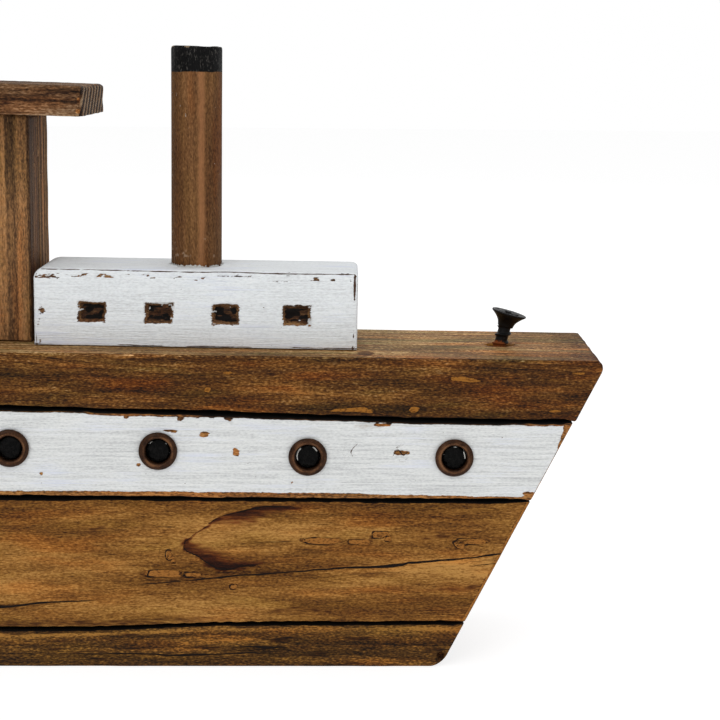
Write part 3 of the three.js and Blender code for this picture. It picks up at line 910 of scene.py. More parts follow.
# Chips along the front of the deck plank, seen from port.
DECK_CHIPS = [
    (78.5, 62.7, 9, 1.2), (93, 63.1, 1.8, 1.4), (45.4, 67, 1.7, 1.5), (106, 70.4, 6.5, 1),
    (131, 72.2, 4, 0.8), (127, 62.9, 3, 0.7), (50.6, 71, 1.6, 0.5),
]
# A dark smear on the deck: (x, y, length, width).
DECK_SMEAR = (82.6, -15, 4.4, 9)


def deck_plank():
    plank = Plank(shift(TOP_SEAM, SEAM_GAP), DECK_LINE, 0, (0.66, 0.62, 0.42), 40, top_radii=(3.2, 1.65))
    points, fields, side, top = plank.points, plank.fields, plank.side, plank.top
    x, y, _ = points.T
    plank.open_seams((False, 104, 0.68))
    rings = np.hypot(y - 60, plank.v + 30 + 0.04 * x)
    fields["ring"] = rings / 1.3 + 0.9 * layers(points, (45, 6, 6), 43)
    chips = DECK_CHIPS + random_patches(44, (-130, -10), (62, 73), 9, (2, 8), (0.8, 1.6))
    other_chips = random_patches(45, (-130, 125), (62, 73), 16, (2, 8), (0.8, 1.6))
    rough = 0.5 * layers(points, (2.2, 2, 0.9), 46)
    worn = np.where(side > 0.5, plank.on_each_side(blotches, chips, other_chips, rough), -1)
    specks = ramp(layers(points, (3.2, 1.4, 0.9), 47), 0.35, 0.75)
    under_arris = fade(np.abs(plank.up - 1.3), 0.5) * (0.6 + noise(points, 8, 53))
    smear = np.clip(2.0 * blotches(x, y, [DECK_SMEAR], rough), 0, 1.3)
    fields["mark"] = (0.7 * specks + 0.6 * under_arris) * side + smear * top
    dusty = 0.85 + 0.35 * layers(points, (26, 7, 7), 48) - 0.4 * ramp(x, 118, 136)
    dusty += 0.3 * ramp(y, -11, -13) * ramp(x, 84, 80)
    arris = fade(plank.up, 0.6) * side * (0.8 + noise(points, 6, 54))
    fields["stain"] = dusty * top + arris
    fields["tone"] = layers(points, (40, 20, 6), 49) + layers(points, (11, 8, 2.4), 55) * side
    fields["tone"] -= 0.5 * plank.end
    end_bevel = ramp(plank.from_end, 1.6, 0.6) * ramp(plank.up, 1.8, 0.8)
    fields["worn"] = np.maximum(worn, end_bevel - 0.6 + rough)
    for sign in (-1, 1):
        # Above 0 in the torn wood round a screw.
        away = np.hypot((x - sign * BOLLARD_X) / 3.0, y / 2.6)
        hole = 1 - away + 0.5 * layers(points, (1.8, 1.8, 9), 52)
        plank.at_least("mark", 1.3 * ramp(hole, -0.15, 0.25) * top)
        plank.at_least("worn", np.where(top > 0.5, 0.5 - 2.5 * np.abs(hole + 0.1), -1))
        plank.push(2.6 * ramp(hole, -0.1, 0.5) * top)
    depth = 0.2 * ramp(worn, -0.1, 0.15) + 0.1 * specks * side
    depth += 0.06 * (1 + layers(points, (12, 1.6, 0.9), 50)) * (side + top)
    plank.push(depth + plank.sawn_ends(51))
    piece("hull_deck_plank", points, plank.faces, "deck", fields)


# A nail's head in the bottom plank, on both sides: (x, z).
NAIL = (101, 2.9)


def bottom_plank():
    plank = Plank(GROUND, shift(LOW_SEAM, -SEAM_GAP), SETBACK, (0.5, 3.2, 0.42), 60, low_radii=(3.0, 3.0))
    points, fields, side = plank.points, plank.fields, plank.side
    x, y, _ = points.T
    plank.open_seams((True, 106, 0.42))
    fields["ring"] = np.hypot(y + 70, plank.v - 25 + 0.03 * x) / 1.1 + 0.9 * layers(points, (50, 6, 6), 63)
    plank.crack(*(random_cracks(seed, (-105, 60), (2, 7), count) for seed, count in ((64, 2), (62, 3))))
    arris = fade(np.abs(plank.up - 1.4), 0.9) * side
    fields["mark"] = 0.8 * ramp(layers(points, (9, 2, 0.9), 65), 0.25, 0.75) * side
    fields["tone"] = 2.2 * arris * (0.7 + layers(points, (30, 4, 4), 66))
    fields["tone"] += layers(points, (40, 20, 5), 67) - 0.5 * plank.end
    nail = ramp(np.hypot(x - NAIL[0], plank.v - NAIL[1]), 1.1, 0.6) * side
    plank.at_least("mark", 1.2 * nail)
    depth = 1.2 * nail + 0.07 * (1 + layers(points, (12, 2, 0.9), 68)) * side
    plank.push(depth + plank.sawn_ends(69))
    piece("hull_bottom_plank", points, plank.faces, "bottom", fields)


# Chips in the white band, seen from port: (x, z, width, height).
BAND_CHIPS = [
    (39.7, 60.5, 2, 1.8), (27.4, 60.4, 1.2, 0.9), (46, 60.5, 1.2, 0.7), (50.6, 60.8, 2.4, 2.4),
    (36.8, 57, 4.2, 0.6), (45, 56.3, 2, 1.2), (52.7, 52.4, 1.3, 1.8), (29.3, 48.9, 1.4, 0.8),
    (7.7, 46.4, 0.7, 0.7), (65.2, 45, 0.7, 0.7), (87, 59.3, 2.6, 0.8), (90.4, 52.6, 3.8, 1.1),
    (121.5, 42.6, 2.2, 1.6),
]
# A brown stain on the band, in the same form.
BAND_STAIN = (82.8, 58.9, 9, 2.2)
BAND_SCRATCHES = [
    [(80.6, 55.4, 0), (79.6, 54, 0.1), (79.4, 52.4, 0.13), (80.3, 50.8, 0)],
    [(88.2, 51.6, 0.05), (89.6, 53.6, 0.14), (91, 51.8, 0.14), (92.6, 53.2, 0.04)],
]
# How far the paint stops short of the plank's edges.
PAINT_SHORT_ABOVE = 0.35
PAINT_SHORT_BELOW = [(-20, 1.2), (5, 1.5), (20, 1.65), (60, 1.6), (90, 1.25), (120, 0.75)]
# Some portholes were bored a little off their line: number to (x, z).
BORED_OFF = {4: (0, 0.45), 5: (-0.2, 0.35), 6: (0.1, -0.45), 7: (-0.2, -0.1)}
BORED_RADIUS = 3.55
BORED_DEPTH = 5.6


def porthole_place(number):
    """The middle of a porthole, as (x, z)."""
    x, _, z = middle(f"porthole_eyelet_port_{number}")
    off_x, off_z = BORED_OFF.get(number, (0, 0))
    return x + off_x, z + off_z


def band_plank():
    plank = Plank(shift(MIDDLE_SEAM, SEAM_GAP), shift(TOP_SEAM, -SEAM_GAP), SETBACK, (0.46, 3.2, 0.42), 80)
    points, fields, side = plank.points, plank.fields, plank.side
    x, y, z = points.T
    plank.open_seams((False, 108, 0.4 + 0.25 * ramp(x, 22, 5)), (True, 109, 0.5))
    u, v = plank.u, plank.v
    # Seam paint has run over the upper edge, except along two clean stretches.
    clean = np.maximum(ramp(np.abs(x - 31), 14, 12), ramp(np.abs(x - 124.5), 5.5, 4))
    run = 0.55 + 0.3 * ramp(x, 18, 10) + 0.25 * layers(line_points(x, 9.0), 9, 82)
    plank.at_least("gap", ramp(plank.up - run, 0.12, -0.12) * (1 - clean) * side)
    fields["ring"] = np.hypot(y - 50, v - 20) / 1.4 + 0.9 * layers(points, (45, 6, 6), 83)
    rough = 0.5 * layers(points, (1.6, 1.6, 1), 84)
    chips = BAND_CHIPS + random_patches(85, (-125, -8), (43, 61), 16, (0.8, 4.5), (0.7, 1.8))
    other_chips = random_patches(86, (-125, 125), (43, 61), 26, (0.8, 4.5), (0.7, 1.8))
    chip = plank.on_each_side(blotches, chips, other_chips, rough)
    plank.crack(BAND_SCRATCHES, [])
    # The paint ends where the least of these falls below 0.
    edge_noise = 0.22 * layers(line_points(x, 3.0), 9, 87)
    from_top = (plank.up - PAINT_SHORT_ABOVE - 0.45 * clean - edge_noise) / 0.5
    from_low = (plank.down - height_at(PAINT_SHORT_BELOW, x) + edge_noise * 1.4) / 0.5
    short_of_end = 0.95 * ramp(v, 52, 58) * (1 + 1.2 * noise(points, (3, 9, 1.6), 91))
    from_end = (plank.from_end - short_of_end) / 0.5 + 0.3
    film = np.minimum.reduce([from_top, from_low, from_end, -chip * 1.6])
    painted_end = np.minimum(0.8 + 0.6 * layers(points, 5, 88), (53 - v) / 4)
    fields["paint"] = np.where(side > 0.4, np.clip(film, -1, 1), -1)
    fields["paint"] = np.where(plank.end > 0.4, np.clip(painted_end, -1, 1), fields["paint"])
    fields["grime"] = np.maximum(0, 1 - np.minimum(plank.up, plank.down) / 2.2) * 0.5
    stain = 0.6 * ramp(blotches(u, v, [BAND_STAIN], rough), -0.2, 0.6)
    plank.at_least("grime", np.where(plank.port, stain, 0))
    fields["tone"] = layers(points, (40, 20, 5), 89)
    depth = 0.16 * ramp(-fields["paint"], -0.1, 0.1) * side
    depth += 0.035 * (1 + layers(points, (16, 2, 0.8), 90)) * side
    for hole_x, hole_z in map(porthole_place, PORTHOLE_NUMBERS):
        away = np.hypot(x - hole_x, z - hole_z)
        depth += BORED_DEPTH * ramp(away, BORED_RADIUS + 0.2, BORED_RADIUS - 0.2) * side
        plank.at_least("grime", 0.45 * ramp(away, 5.4, 4.5) * side)
    plank.push(depth)
    piece("hull_band_plank", points, plank.faces, "band", fields)


# Portholes

EYELET_BORE = 2.95
TUBE_WALL = 0.4
EYELET_SEGMENTS = 56
PANE_SEGMENTS = 64


def porthole_part(kind, side, number):
    """A porthole part's CAD node, its radius, its length, how far out it stands, and a seed."""
    node = f"porthole_{kind}_{side}_{number}"
    low, high = node_box(node)
    standing = max(abs(low[1]), abs(high[1])) - HALF_WIDTH
    return node, (high[0] - low[0]) / 2, high[1] - low[1], standing, int(round(low[0])) + 7 * SIDES[side]


def in_side(points, side, number):
    """Points made about Z, turned to look out of the hull's side and put at a porthole."""
    outward = SIDES[side]
    x, z = porthole_place(number)
    laid = np.stack([points[:, 0], outward * points[:, 2], -outward * points[:, 1]], axis=1)
    return laid + np.array((x, outward * HALF_WIDTH, z))


def eyelet(side, number):
    """A rolled metal ring with its tube in the wood."""
    node, rim, length, standing, seed = porthole_part("eyelet", side, number)
    seed += 200
    tube = EYELET_BORE + TUBE_WALL
    # The tube, the flange's rolled rim and shoulder, and the lip that turns into the bore.
    profile = [(tube, standing - length), (tube, 0.3), (rim - 0.45, 0.3)]
    profile += arc((rim - 0.45, 0.62), (0.45, 0.32), -60, 60, 5)
    profile += arc((rim - 0.85, 0.72), (0.5, 0.45), 45, 100, 5)
    profile += arc((EYELET_BORE + 0.62, 0.7), (0.62, 0.6), 80, 180, 9)
    profile += [(EYELET_BORE, 0.2), (EYELET_BORE, standing - length)]
    points, faces = ring_lathe([(r, min(z, standing)) for r, z in profile], EYELET_SEGMENTS)
    z = points[:, 2]
    dent = 0.06 * noise(points + seed, 1.6, seed) + 0.07 * noise(points + seed, 4, seed + 1)
    z -= np.clip(0.08 + dent, 0, 0.3) * ramp(z, 0.25, 0.5)
    worn = ramp(z, standing - 0.35, standing - 0.05) * (0.6 + noise(points, 2, seed))
    piece(node, in_side(points, side, number), faces, "bronze", {"worn": worn})


def pane(side, number):
    """A drop of black enamel inside the eyelet, with a few painted highlights, pale glint marks, along its
    rim.
    """
    node, radius, thickness, front, seed = porthole_part("pane", side, number)
    seed += 300
    profile = [(0, front - thickness), (radius, front - thickness)]
    profile += [(radius * math.cos(a), front - 0.35 + 0.35 * math.sin(a)) for a in np.linspace(0, 1.5, 14)]
    profile += [(0, front)]
    points, faces = lathe(profile, PANE_SEGMENTS)
    z = points[:, 2]
    lumps = 0.42 * (1 + layers(points + seed, 1.1, seed)) / 2
    z -= lumps * ramp(z, front - 0.6, front - 0.3)
    away = np.hypot(points[:, 0], points[:, 1])
    around = points / np.maximum(away, 0.1)[:, None]
    # Painted highlights: pale glint marks near the rim, placed by noise around it.
    glints = noise(around * 3 + 7 * number, (2.6, 2.6, 9), seed + 2) + 0.3 * around[:, 1] - 0.2 * around[:, 0]
    painted_glint = ramp(glints, 0.25, 0.6) * fade(np.abs(away - 0.86 * EYELET_BORE), 0.35)
    piece(node, in_side(points, side, number), faces, "enamel", {"painted_glint": painted_glint})


# Deckhouse and funnel

def block_skin(size, steps, radius, seed):
    """A block centred on the origin with worn edges."""
    half = np.array(size) / 2
    points, faces = box_shell(*(grid_lines(h, step) for h, step in zip(half, steps)))
    worn = radius * (1 + 0.35 * noise(points, 7, seed))
    # The foot's edges stay sharp, so that no gap shows under the block.
    soft = np.where(points[:, 2] < 1 - half[2], 0.25, worn)[:, None]
    points, outward = rounded(points, half, soft)
    return Skin(points, faces, outward)


def seat_down(size):
    """A block's size, made taller by what it reaches further down than its CAD solid."""
    return np.array(size) + np.array([0, 0, SEAT])


# A chipped dot on the deckhouse's sides: (x, how far up it is, width, height).
HOUSE_DOT = (-36, 8.2, 1.2, 1.2)


def windows(u, v, rough):
    """Above 0 inside the deckhouse's windows, and the distance in millimetres to their rims."""
    inside = np.full(len(u), -1.0)
    width, height = WINDOW_SIZE
    upwards = height / 2 - np.abs(v - WINDOW_SILL - height / 2) + 0.3 * rough
    for i, centre in enumerate(WINDOW_CENTRES):
        skew = 0.6 * noise(line_points(v, i), 3, 122)
        across = width / 2 - np.abs(u - centre - skew) + 0.3 * rough
        inside = np.maximum(inside, np.minimum(across, upwards))
    return inside


def house_chips(points, half, side, window, rough):
    """Above 0 where the deckhouse's paint is off, and how far each point is from the nearest edge."""
    u, v = points[:, 0], points[:, 2] + half[2]
    down = half[2] - points[:, 2]
    # A thin brown line runs along the top, with scribbly chips beside it.
    edge = np.sort(half - np.abs(points), axis=1)[:, 1]
    top_edge = np.maximum(edge, down * side)
    chips = 0.1 - top_edge / 0.3 + 0.7 * layers(points, (6, 2, 2), 124) + 0.2 * ramp(u, -30, 30)
    crumbs = ramp(layers(points, (2.0, 1.2, 0.6), 125) + 0.25 * ramp(u, -12, -26), 0.2, 0.5)
    crumbs = crumbs * ramp(np.abs(down - 1.7), 1.5, 0.5) * side
    chips = np.maximum(chips, 1.15 * crumbs - 1)
    corner = ramp(np.abs(half[0] - np.abs(u) - 1.3), 0.9, 0.3) * side
    chips = np.maximum(chips, corner * (0.3 + layers(points, (2, 2, 4), 126) * 1.8) - 1)
    flecks = ramp(layers(points, (1.8, 1.2, 0.8), 133), 0.35, 0.55) * ramp(window, 1.6, 0.6)
    dot = blotches(u, v, [HOUSE_DOT], 0.3 * rough)
    opened = np.maximum(dot, window * 1.6 - 3 * flecks * ramp(window, 0, 0.2))
    return np.maximum(chips, np.where(side > 0.5, opened, -1)), edge


def house_lines(points, half, side):
    """Dark lines that follow the top edge and the stern corner, and lines of painted shade along the foot
    and, faintly, the bow corner.
    """
    u, v = points[:, 0], points[:, 2] + half[2]
    down = half[2] - points[:, 2]
    dotted = np.where(down < half[2] * 0.7, 0.14, 0.12 * ramp(noise(line_points(v), 1.2, 132), 0, 0.4))
    lines = [
        down - 0.45 + 0.12 * noise(line_points(u), 9, 130),
        half[0] - u - 0.9 + 0.15 * noise(line_points(v), 5, 131),
        # The foot line and the bow-corner line are painted shade: under the block, and in the narrow gap
        # beside the wheelhouse.
        v - 0.3 + 0.08 * noise(line_points(u), 6, 134),
        u + half[0] - 0.6 + 0.12 * noise(line_points(v), 4, 135),
    ]
    widths = [
        np.full(len(u), 0.17),
        dotted + 0.16 * ramp(down, 7, 4),
        0.13 * ramp(noise(line_points(u, 5.0), 5, 136), -0.4, 0.2),
        0.1 * ramp(noise(line_points(v, 5.0), 3, 137), -0.2, 0.4),
    ]
    nearest = np.argmin(np.abs(lines), axis=0)[None]
    line, width = (np.take_along_axis(np.stack(values), nearest, 0)[0] for values in (lines, widths))
    return {"line": line, "line_width": width * side}


def deckhouse():
    size = seat_down(DECKHOUSE_SIZE)
    half = size / 2
    block = block_skin(size, (0.42, 0.5, 0.36), 0.8, 120)
    points, fields, side, top = block.points, block.fields, block.side, block.top
    x, y, z = points.T
    # The top edges at the two ends are rounded more than the others.
    for way, radius in ((-1, 2.8), (1, 1.3)):
        x -= way * corner_cut(half[2] - z, radius) * ramp(way * x, half[0] - 8, half[0])
    rough = layers(points, (1.5, 1.5, 1), 121)
    window = windows(x, z + half[2], rough)
    floor = WINDOW_DEPTH * (0.75 + 0.35 * layers(points, (1.1, 1.1, 1.6), 123))
    cut = ramp(window, -0.1, 0.8) * side
    bare, edge = house_chips(points, half, side, window, rough)
    fields["paint"] = np.clip(-bare * 0.8, -1, 1)
    fields.update(house_lines(points, half, side))
    fields["gap"] = ramp(window, 0.45, 0.8) * side * (0.4 + 1.3 * layers(points, (1.8, 0.9, 0.6), 127))
    fields["mark"] = 0.8 * ramp(window, 0.3, 0.6) * side
    rim = ramp(window, -0.5, -0.1) * side * (0.4 + rough)
    # Darker round the window rims, and darker in the lowest 0.6 mm of the block.
    fields["grime"] = np.maximum(rim * 0.8, 0.3 * fade(z + half[2], 0.6))
    away = np.hypot(x - (FUNNEL_X - DECKHOUSE_X), y)
    hole_radius = FUNNEL_RADIUS + FUNNEL_PLAY
    block.at_least("grime", 0.7 * ramp(away, hole_radius + 1.2, hole_radius) * top)
    fields["tone"] = layers(points, (20, 20, 5), 128)
    fields["ring"] = np.hypot(y - 20, z + 30) / 1.3
    depth = floor * cut
    depth += 0.15 * ramp(-fields["paint"], -0.1, 0.1) * (1 - cut) * ramp(edge, 0.1, 0.6)
    depth += 0.03 * (1 + layers(points, (12, 1.2, 0.7), 129))
    crust = ramp(away, hole_radius + 1.5, hole_radius + 0.3) * ramp(rough, -0.1, 0.6)
    depth -= 0.45 * crust * top
    block.push(np.where((away < hole_radius) & (top > 0.5), size[2] - 0.6, depth))
    placed = seated(points, "deckhouse", DECKHOUSE_TURN)
    piece("deckhouse", placed, block.faces, "house", fields)


def funnel():
    radius = FUNNEL_RADIUS
    house_top = DECKHOUSE_SIZE[2] + SEAT
    profile = [(0, FUNNEL_FOOT)] + [(r, FUNNEL_FOOT) for r in np.linspace(0.6, radius, 6)[:-1]]
    profile += [(radius, height) for height in np.arange(FUNNEL_FOOT, FUNNEL_TOP - 0.5, 0.6)]
    profile += arc((radius - 0.5, FUNNEL_TOP - 0.5), (0.5, 0.5), 0, 90, 5)
    profile += [(r, FUNNEL_TOP) for r in np.arange(radius - 0.8, 0.3, -0.35)] + [(0, FUNNEL_TOP)]
    points, faces = lathe(profile, FUNNEL_SEGMENTS)
    fields = plain_fields(len(points))
    x, y, z = points.T
    away = np.hypot(x, y)
    fields["band"] = np.clip((z - FUNNEL_TOP + FUNNEL_BAND + 0.25 * noise(points, 3, 140)) / 0.6, -1, 1)
    # A painted highlight: one paler streak runs up the side that faces the port quarter.
    streak = np.abs(np.degrees(np.arctan2(y, x)) + 76 + 3 * noise(line_points(z), 14, 141))
    fields["stain"] = np.clip(1.1 - streak / 12.5, 0, 1)
    smears = ramp(layers(points, (2.2, 2.2, 0.7), 151), 0.3, 0.6) * ramp(z, house_top + 14, house_top + 3)
    dirt = 0.5 * ramp(z, 36, 12) * (0.4 + layers(points, (3, 3, 6), 142))
    fields["mark"] = np.maximum(dirt, 1.1 * smears)
    top_edge = ramp(z, FUNNEL_TOP - 0.8, FUNNEL_TOP - 0.1) * ramp(away, radius - 1.4, radius - 0.5)
    fields["worn"] = top_edge * (0.3 + 0.8 * noise(points, 2, 143))
    fields["paint"] = ramp(z, house_top + 1.1, house_top - 0.2) * (0.75 + 0.5 * noise(points, 1.5, 144))
    fields["tone"] = 0.8 * layers(points, (4, 4, 40), 145)
    fields["ring"] = (x + 14) / 1.6 + 0.3 * layers(points, (4, 4, 50), 146)
    depth = 0.04 * (0.6 + layers(points, (0.8, 0.8, 14), 147)) - 0.04 * ramp(z, 60, 0)
    depth += 0.22 * top_edge * (1 + noise(points, 1.6, 149))
    sunk = 0.15 * (1 + noise(points, 2.2, 150)) * ramp(z, FUNNEL_TOP - 0.2, FUNNEL_TOP)
    points[:, :2] *= (1 - depth * ramp(away, radius - 0.6, radius - 0.1) / np.maximum(away, 0.1))[:, None]
    z -= sunk
    piece("funnel", on_deck(points, FUNNEL_X), faces, "funnel", fields)


# Wheelhouse and roof

# Stripes on the wheelhouse's front: (distance from the corner, tone), dark below 0.
CABIN_STRIPES = [
    (0, -0.7), (0.6, -0.7), (0.75, 0.6), (3.4, 0.8), (3.65, -0.1), (5.7, -0.1), (5.95, 0.75), (8, 0.75),
]


def cabin_scratches():
    """Short pale scratches on the wheelhouse's ends, as paths of (y, z, half width)."""
    rng = np.random.default_rng(165)
    scratches = []
    for _ in range(9):
        start = (rng.uniform(-8, 8), rng.uniform(12, 25), 0.3)
        scratches.append([start, (start[0] + rng.normal(0, 2.5), start[1] + rng.normal(0, 4), 0.2)])
    return scratches


def wheelhouse():
    size = seat_down(WHEELHOUSE_SIZE)
    block = block_skin(size, (0.42, 0.45, 0.6), 0.9, 160)
    points, fields, end = block.points, block.fields, block.end
    x, y, z = points.T
    # Upright stripes of uneven width cross the front; the end faces show finer, closer lines.
    sway = 0.35 * noise(points, (30, 30, 26), 161)
    from_corner = size[0] / 2 - np.abs(x) + sway
    place = np.stack([from_corner, np.sign(x) * 40, np.sign(y) * 40], axis=1)
    stripes = np.where(
        from_corner < CABIN_STRIPES[-1][0],
        height_at(CABIN_STRIPES, from_corner),
        1.6 * noise(place, (2.2, 9, 9), 163),
    )
    across = y + sway
    fine_lines = np.sin(2 * math.pi * across / 2.6 + 1.5 * noise(line_points(across), 5, 162))
    far = ramp(y, -4, 1)
    stripes = stripes * (1 - end) + (1.3 * fine_lines * (0.2 + 0.8 * far) - 0.25 + 0.3 * far) * end
    fields["ring"] = from_corner / 1.4 + 0.25 * layers(points, (8, 8, 60), 162)
    fields["tone"] = 1.5 * stripes + 0.5 * layers(points, (10, 10, 30), 164)
    fields["stain"] = 0.6 * ramp(stripes, 0.3, 1.0) * (1 - end)
    # A dark stripe runs down the end faces near the port corner and grows darker towards the foot; that lower
    # part is painted shade beside the deckhouse.
    port_stripe_and_shade = ramp(y, -5, -7.5) * end
    fields["mark"] = port_stripe_and_shade * (0.55 + 0.4 * ramp(z + size[2] / 2, 22, 15))
    scratch = strokes(y, z, cabin_scratches()) * end
    fields["worn"] = scratch - 0.4
    depth = 0.12 * (1 - np.clip(stripes, -1, 1)) * (1 - block.level)
    depth += 0.06 * (1 + layers(points, (0.9, 0.9, 16), 166)) + 0.1 * scratch
    block.push(depth)
    # The top is sawn out of square, and the middle of the CAD solid's box is higher by half of that.
    slope = math.tan(math.radians(ROOF_TIP))
    z -= x * slope * (z / size[2] + 0.5)
    placed = seated(points, "wheelhouse", WHEELHOUSE_TURN, drop=size[0] * slope / 4)
    piece("wheelhouse", placed, block.faces, "cabin", fields)


# Pale stains on the roof's port edge: (x, z, width, height).
ROOF_SPOTS = [(36.8, 0.3, 1.2, 1.3), (36.7, -2.3, 1.3, 1.1)]


def roof():
    size = np.array(ROOF_SIZE) - np.array([0, 0, SEAT])
    block = block_skin(size, (0.42, 0.42, 0.3), 1.1, 180)
    points, fields, end = block.points, block.fields, block.end
    x, y, z = points.T
    # Softened corners, seen from above.
    for axis, other in ((0, 1), (1, 0)):
        inward = size / 2 - np.abs(points)
        cut = 0.5 * corner_cut(inward[:, other], 1.6) * ramp(inward[:, axis], 3, 0)
        points[:, axis] -= np.sign(points[:, axis]) * cut
    # The rings stand nearly upright in the board and lean a little towards port.
    lean = y - 0.9 * z + 0.5 * noise(points, (40, 6, 6), 181)
    wave = np.sin(2 * math.pi * lean / ROOF_RING_SPACING)
    fields["ring"] = lean / ROOF_RING_SPACING + 0.5 * layers(points, (60, 10, 3), 182) * (1 - end)
    ridges = layers(points, (40, 3, 0.7), 183)
    fields["tone"] = (2.6 * ridges - 0.1) * (1 - end) + 0.4 * layers(points, (30, 9, 4), 184)
    fields["tone"] += (2.6 * wave - 0.4) * end
    fields["mark"] = 0.6 * ramp(-ridges, 0.3, 0.8) * (1 - end)
    spot = ramp(blotches(x, z, ROOF_SPOTS, 0.3 * noise(points, 1, 185)), 0, 0.4)
    fields["stain"] = np.where(y < 0, spot, 0) * (1 - end)
    pale = layers(points, (16, 3, 1.1), 186)
    fields["worn"] = np.where(end < 0.5, 0.9 * pale - 0.5, 0.8 * wave - 0.35 + 0.3 * pale)
    depth = 0.12 * (1 - ridges) * (1 - end) + 0.09 * (1 - wave) * end
    block.push(depth + 0.03 * (1 + noise(points, 1.2, 187)))
    piece("roof", seated(points, "roof", ROOF_TURN, ROOF_TIP), block.faces, "roof", fields)


# Bollard screws

SCREW_LENGTH = 25.0
HEAD_RADIUS = 4.3
HEAD_HEIGHT = 3.6
NECK_RADIUS = 1.85
THREAD_ROOT = 1.45
THREAD_CREST = 2.0
THREAD_PITCH = 2.2
RECESS_DEPTH = 1.6
SCREW_SEGMENTS = 72


def screw_profile(tip, foot):
    """The screw's outline from its tip to the middle of its head, without the thread."""
    # The shank from its tip, the flaring head, its rim and its flat top.
    profile = [(0, tip)]
    profile += [(min(THREAD_ROOT, 0.1 + (z - tip) * 0.35), z) for z in np.arange(tip + 0.15, foot, 0.15)]
    for share in np.linspace(0, 1, 14):
        flare = NECK_RADIUS + (HEAD_RADIUS - 0.1 - NECK_RADIUS) * (0.35 * share + 0.65 * share ** 2.6)
        profile.append((flare, foot + share * (HEAD_HEIGHT - 0.45)))
    profile += arc((HEAD_RADIUS - 0.2, BOLLARD_PROUD - 0.2), (0.2, 0.2), -30, 90, 5)
    profile += [(r, BOLLARD_PROUD) for r in np.arange(HEAD_RADIUS - 0.4, 0.1, -0.18)]
    return profile + [(0, BOLLARD_PROUD)]


def screw(node):
    """A bugle-head screw with a real helical thread and a cross recess."""
    tip = BOLLARD_PROUD - SCREW_LENGTH
    foot = BOLLARD_PROUD - HEAD_HEIGHT
    points, faces = lathe(screw_profile(tip, foot), SCREW_SEGMENTS)
    x, y, z = points.T
    away = np.hypot(x, y)
    turn = z / THREAD_PITCH - np.arctan2(y, x) / (2 * math.pi)
    ridge = np.abs(turn - np.floor(turn) - 0.5) * 2
    thread = (THREAD_CREST - THREAD_ROOT) * np.clip(1 - ridge * 2.4, 0, 1)
    thread *= ramp(z, tip + 1, tip + 4) * ramp(z, foot + 0.1, foot - 0.5)
    rust_noise = noise(points, 1.5, 201)
    points[:, :2] *= ((away + thread) / np.maximum(away, 0.01))[:, None]
    top = ramp(z, BOLLARD_PROUD - 0.05, BOLLARD_PROUD - 0.01) * (away < HEAD_RADIUS - 0.3)
    slots = [ramp(np.abs(a), 0.75, 0.4) * ramp(np.abs(b), 2.5, 2.0) for a, b in ((x, y), (y, x))]
    dish = 0.3 * ramp(away, HEAD_RADIUS - 0.3, 0) + 0.08 * (1 + noise(points, 1.2, 202))
    z -= (dish + RECESS_DEPTH * np.maximum(*slots)) * top
    flaring = ramp(z, foot, foot + 1) * (1 - top)
    points[:, :2] *= (1 - 0.02 * (1 + noise(points, 1.4, 203)) * flaring)[:, None]
    placed = on_deck(points, BOLLARD_X * np.sign(middle(node)[0]), BOLLARD_LEAN)
    piece(node, placed, faces, "steel", {"rust": ramp(z, 1.6, 0) + 0.25 * rust_noise})


# Stage, lights and camera

CAMERA_PLACE = (72.54, -387.4, 143.08)
CAMERA_YAW = 1.33
CAMERA_PITCH = 10.55
CAMERA_ROLL = 0.52
CAMERA_LENS = 81.0
SENSOR = 36.0
AMBIENT = 0.5
WHITE = [1, 1, 1, 1]
FLOOR_GREY = [0.35, 0.35, 0.35, 1]
FLOOR_REACH = 3.0
# Each light's place and size in metres, and its power; all of them aim at one point.
LIGHTS = {
    "key": ((-0.5, -1.0, 0.8), 0.8, 4.5),
    "fill": ((0.9, -0.9, 0.5), 0.8, 2.2),
    "top": ((0.1, -0.1, 1.3), 0.9, 3.5),
    "back": ((0.2, 1.0, 0.8), 0.8, 2.5),
}
LIGHTS_AIM = (0.03, 0, 0.06)


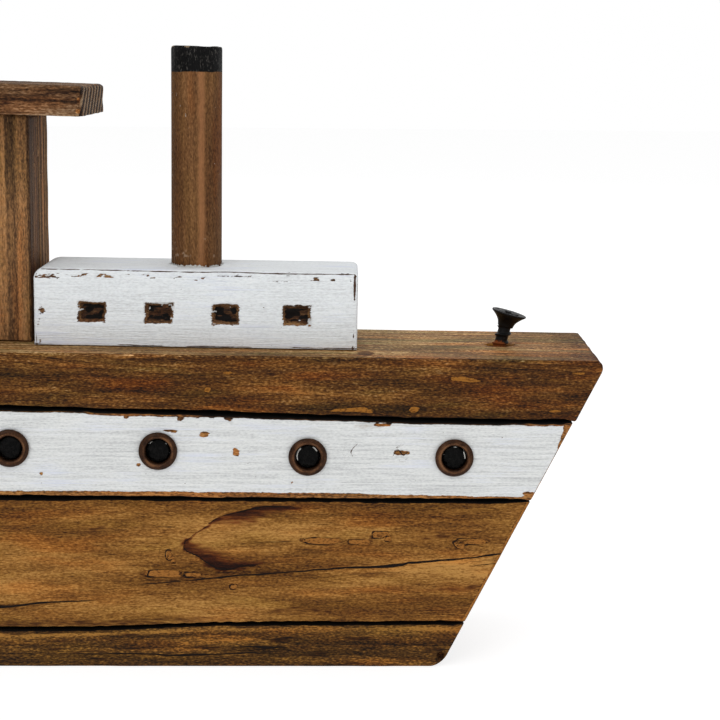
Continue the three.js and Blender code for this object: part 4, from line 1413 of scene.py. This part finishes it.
def camera():
    lens = bpy.data.cameras.new("camera")
    lens.lens = CAMERA_LENS
    lens.sensor_width = SENSOR
    lens.clip_start = 0.01
    lens.clip_end = 20
    eye = put("camera", lens)
    turns = turned(-CAMERA_YAW, "Z", 4) @ turned(90 - CAMERA_PITCH, "X", 4) @ turned(CAMERA_ROLL, "Z", 4)
    eye.matrix_world = Matrix.Translation(Vector(CAMERA_PLACE) * MM) @ turns
    bpy.context.scene.camera = eye


def floor():
    mesh = bpy.data.meshes.new("floor")
    corners = [(x * FLOOR_REACH, y * FLOOR_REACH, 0) for x, y in ((-1, -1), (1, -1), (1, 1), (-1, 1))]
    mesh.from_pydata(corners, [], [(0, 1, 2, 3)])
    glow = {"Emission_Strength": 0.78, "Emission_Color": WHITE}
    mesh.materials.append(Finish("pale_floor", Base_Color=FLOOR_GREY, Roughness=0.9, **glow).material)
    plane = put("floor", mesh)


def studio():
    world = bpy.data.worlds.new("studio")
    bpy.context.scene.world = world
    world.use_nodes = True
    nodes, links = world.node_tree.nodes, world.node_tree.links
    background = nodes["Background"]
    background.inputs["Color"].default_value = WHITE
    # The backdrop shows pure white, and lights the boat a little less than that.
    strength = nodes.new("ShaderNodeMath")
    strength.operation = "MULTIPLY_ADD"
    strength.inputs[1].default_value = 1 - AMBIENT
    strength.inputs[2].default_value = AMBIENT
    links.new(nodes.new("ShaderNodeLightPath").outputs["Is Camera Ray"], strength.inputs[0])
    links.new(strength.outputs[0], background.inputs["Strength"])
    for name, (place, size, power) in LIGHTS.items():
        data = bpy.data.lights.new(name, "AREA")
        data.size = size
        data.energy = power
        lamp = put(name, data)
        lamp.location = place
        lamp.rotation_euler = (Vector(LIGHTS_AIM) - Vector(place)).to_track_quat("-Z", "Y").to_euler()
    bpy.context.scene.view_settings.view_transform = "Standard"


# The scene

camera()
studio()
floor()
bottom_plank()
main_plank()
band_plank()
deck_plank()
for hull_side in SIDES:
    for porthole in PORTHOLE_NUMBERS:
        eyelet(hull_side, porthole)
        pane(hull_side, porthole)
deckhouse()
funnel()
wheelhouse()
roof()
screw("bollard_screw_fore")
screw("bollard_screw_aft")

dowel_finish = raw_wood()
for peg in ("hull_dowel_fore", "hull_dowel_aft", "wheelhouse_dowel", "roof_dowel"):
    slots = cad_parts[peg].data.materials
    slots.clear()
    slots.append(dowel_finish)
